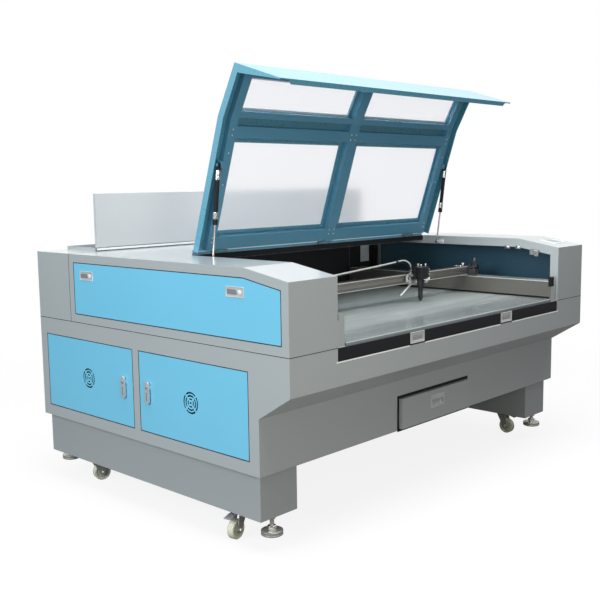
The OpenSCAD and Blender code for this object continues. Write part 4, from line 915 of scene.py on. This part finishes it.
for side, hand in HANDS:
    cylinder, inwards = f"strut_cylinder_{hand}", (-side, 0, 0)
    collars = [sleeve(side * STRUT_X, *collar) for collar in COLLARS]
    piece(f"strut_collars_{hand}", collars, cylinder, "bright")
    piece(f"strut_cap_{hand}", [sleeve(side * STRUT_X, 0.214, 0.237, 0.0106)], cylinder, "black_metal")
    stud_plate = plate((0.046, 0.028, 0.003), (side * 0.8034, -0.100, 1.006), inwards, BACK)
    heads = copies(pan_head(0.0038, inwards), [(side * 0.8018, y, 1.006) for y in (-0.118, -0.082)])
    piece(f"stud_plate_{hand}", [stud_plate, heads], "cabinet", "zinc")

# %% [markdown]
# ## The control panel and the running gear
# The membrane panel has a display window and rows of blank keys: nothing is written on it. The casters
# get hub caps and axle nuts. Each foot gets a hex nut on its thread, two cast beads round its rim and a
# rubber line between them.

# %% Keys and display
PANEL_AT = np.array((0.955, -0.6675, 1.0155))
panel_up = -off_slope
panel_face = PANEL_AT + panel_up * 0.0024
display = plate((0.050, 0.026, 0.0008), panel_face + up_slope * 0.020, panel_up)
piece("panel_display", [display], "cabinet", "black_case", "screen")
KEY_ROWS, KEY_COLUMNS, KEY_X, KEY_Y = 3, (-2, -1, 0, 1, 2), 0.0145, 0.0115
key = plate((0.0095, 0.0075, 0.0010), (0, 0, 0), panel_up)
places = [
    panel_face + up_slope * (-0.002 - KEY_Y * row) + np.array((KEY_X * column, 0, 0))
    for row in range(KEY_ROWS)
    for column in KEY_COLUMNS
]
piece("panel_keys", [copies(key, places)], "cabinet", "membrane", "key_grey")
rim_section = [(-0.003, 0.0), (0.001, 0.0), (0.001, 0.0018), (-0.003, 0.0026)]
rim = moulding(window(panel_up, PANEL_AT, 0.096, 0.078, RIGHT), rim_section, panel_up)
piece("panel_rim", [rim], "cabinet", "membrane", "white_card")

# %% Casters: hub caps and axle nuts
AXLE_Z = 0.038
CASTERS = {  # the axle's place, and how far the fork is turned
    "fl": (-0.9735, -0.4075, 100),
    "fr": (0.942, -0.434, 180),
    "rl": (-0.911, 0.5535, -105),
    "rr": (0.9505, 0.5925, 15),
}
hub = [(0.0235, 0.0), (0.0235, 0.0008), (0.019, 0.0012), (0.016, 0.0006), (0.008, 0.0006)]
axle_nut = [(0.0075, 0.0), (0.0075, 0.004), (0.0065, 0.005), (0.0005, 0.005)]
for mark, (x, y, turned_by) in CASTERS.items():
    angle = math.radians(turned_by if mark[1] == "l" else -turned_by)
    axle = np.array((math.cos(angle), math.sin(angle), 0.0))
    centre = np.array((x, y, AXLE_Z))
    caps = [turned(hub, centre + axle * way * 0.0140, axle * way, sides=32) for way in SIDES]
    nuts = [turned(axle_nut, centre + axle * way * 0.0238, axle * way, sides=6) for way in SIDES]
    piece(f"hub_caps_{mark}", caps, f"roller_{mark}", "caster_tread", "hub_grey")
    piece(f"axle_nuts_{mark}", nuts, f"caster_{mark}", "zinc")

# %% Feet: hex nut, cast beads and rubber line
FEET = {  # the foot's place, and the height of its underside
    "fl": (-0.946, -0.573, 0.052),
    "fr": (0.946, -0.573, 0.064),
    "rl": (-0.946, 0.741, 0.070),
    "rr": (0.946, 0.741, 0.070),
}
foot_nut = [(0.0005, 0), (0.0155, 0), (0.017, 0.0015), (0.017, 0.0095), (0.0155, 0.011), (0.0005, 0.011)]
bead = [(0.0385, 0.0), (0.0408, 0.0015), (0.0412, 0.0040), (0.0408, 0.0065), (0.0385, 0.008), (0.0385, 0.0)]
for mark, (x, y, up) in FEET.items():
    body = f"leveller_{mark}"
    piece(f"foot_nut_{mark}", [turned(foot_nut, (x, y, up + 0.0248), sides=6)], body, "bright", smooth=20)
    beads = [turned(bead, (x, y, up + rise), sides=48, capped=False) for rise in (0.001, 0.0115)]
    piece(f"foot_beads_{mark}", beads, body, "bright", "foot_cast")
    groove = turned([(0.0402, 0), (0.0402, 0.002)], (x, y, up + 0.004), sides=48)
    piece(f"foot_rubber_{mark}", [groove], body, "black_metal", "rubber")

# %% [markdown]
# ## The studio
# A plain pale floor, a white surround and four soft lamps. The world is white only for rays that come
# from the camera, off gloss or through glass, so the background is clean while the light on the machine
# stays at a plain level. The floor is matt, but seen straight or through glass it mostly glows white.
# A little matt is left near the machine, so a soft shadow stays there and fades with distance.

# %% Floor
FLOOR_REACH = 40.0
NEAR_GLOW = 0.87
corners = [(x * FLOOR_REACH, y * FLOOR_REACH, 0) for x, y in ((-1, -1), (1, -1), (1, 1), (-1, 1))]
floor_mesh = bpy.data.meshes.new("floor")
floor_mesh.from_pydata(corners, [], [(0, 1, 2, 3)])
floor = bpy.data.objects.new("floor", floor_mesh)
bpy.context.scene.collection.objects.link(floor)


def ray(finish, kind):
    """1 for one kind of ray and 0 for all others."""
    return finish.node("LightPath", output=f"Is {kind} Ray")


def either(first, second):
    """The larger of two values, which for masks is 1 where one of them is."""
    return first.maths("MAXIMUM", first, second)


floor_paint = Finish("studio_floor", Roughness=0.9, Specular_IOR_Level=0.0)
direct = either(ray(floor_paint, "Camera"), ray(floor_paint, "Transmission"))
dim, pale = (0.16, 0.16, 0.16, 1), (0.9, 0.9, 0.9, 1)
floor_paint.set(Base_Color=blend_colours(floor_paint, dim, pale, direct))
glow = floor_paint.node("Emission", {}, {"Color": (1, 1, 1, 1), "Strength": 1.0})
matt = Signal(floor_paint, floor_paint.shader.outputs[0])
east, north = (floor_paint.node("SeparateXYZ", {}, {0: place(floor_paint)}, output=axis) for axis in (0, 1))
far_off = step(floor_paint, east * east + north * north, 2.0, 14.0)
share = direct * (NEAR_GLOW + far_off * (1 - NEAR_GLOW))
mixed = floor_paint.node("MixShader", {}, {0: share, 1: matt, 2: glow})
floor_paint.feed(floor_paint.tree.nodes["Material Output"].inputs["Surface"], mixed)
floor_mesh.materials.append(floor_paint.material)

# %% World and lamps
AMBIENT = 0.32
world = bpy.data.worlds.new("studio")
bpy.context.scene.world = world
world.use_nodes = True


class Surround(Finish):
    """The world's nodes, with the same words as a finish."""

    def __init__(self, world):
        self.tree = world.node_tree


surround = Surround(world)
seen = either(ray(surround, "Camera") + ray(surround, "Glossy"), ray(surround, "Transmission"))
backdrop = world.node_tree.nodes["Background"]
surround.feed(backdrop.inputs["Strength"], AMBIENT + seen * (1 - AMBIENT))
backdrop.inputs["Color"].default_value = (1, 1, 1, 1)


def soft_lamp(name, at, aim, size, watts, colour=(1, 1, 1)):
    """A square area lamp that looks at a point: its -Z axis is the line from the lamp to the aim."""
    lamp = bpy.data.objects.new(name, bpy.data.lights.new(name, "AREA"))
    lamp.data.size = size
    lamp.data.energy = watts
    lamp.data.color = colour
    bpy.context.scene.collection.objects.link(lamp)
    axes = facing(np.array(at) - np.array(aim), BACK)
    lamp.matrix_world = Matrix.LocRotScale(at, Matrix(axes.T.tolist()).to_quaternion(), None)


soft_lamp("overhead", (-0.6, -0.75, 4.3), (0.1, -0.1, 0.9), 3.0, 225)
soft_lamp("left_key", (-5.0, -0.2, 2.2), (-0.4, 0.0, 0.8), 2.4, 140, (0.90, 0.96, 1.0))
soft_lamp("front_fill", (-1.9, -3.0, 1.2), (-0.9, -0.7, 0.6), 1.0, 22, (1.0, 0.94, 0.83))
soft_lamp("right_fill", (1.9, -2.3, 3.6), (0.9, -0.75, 0.9), 1.0, 13)

# %% [markdown]
# ## The camera
# The view is from the front left, a little above the table. A camera in Blender looks along its own
# -Z, so its three axes are written as columns: right, up and backwards. It is also rolled by less than
# a degree.

# %% Camera
CAMERA_AT, LENS_MM, SENSOR_MM = (-3.1275, -2.7879, 1.3164), 53.47, 36.0
HEADING, PITCH, ROLL = (math.radians(angle) for angle in (46.647, -7.444, -0.777))
level = math.cos(PITCH)
forward = np.array([math.sin(HEADING) * level, math.cos(HEADING) * level, math.sin(PITCH)])
right = np.array([math.cos(HEADING), -math.sin(HEADING), 0.0])
above = np.cross(right, forward)
tilted_right = math.cos(ROLL) * right + math.sin(ROLL) * above
tilted_above = -math.sin(ROLL) * right + math.cos(ROLL) * above
turn = Matrix(np.array([tilted_right, tilted_above, -forward]).T.tolist())
camera = bpy.data.objects.new("camera", bpy.data.cameras.new("camera"))
camera.data.sensor_width = SENSOR_MM
camera.data.lens = LENS_MM
camera.matrix_world = Matrix.LocRotScale(CAMERA_AT, turn.to_quaternion(), None)
bpy.context.scene.collection.objects.link(camera)
bpy.context.scene.camera = camera
bpy.context.scene.view_settings.view_transform = "Standard"
print("camera at", [round(value, 3) for value in camera.location])
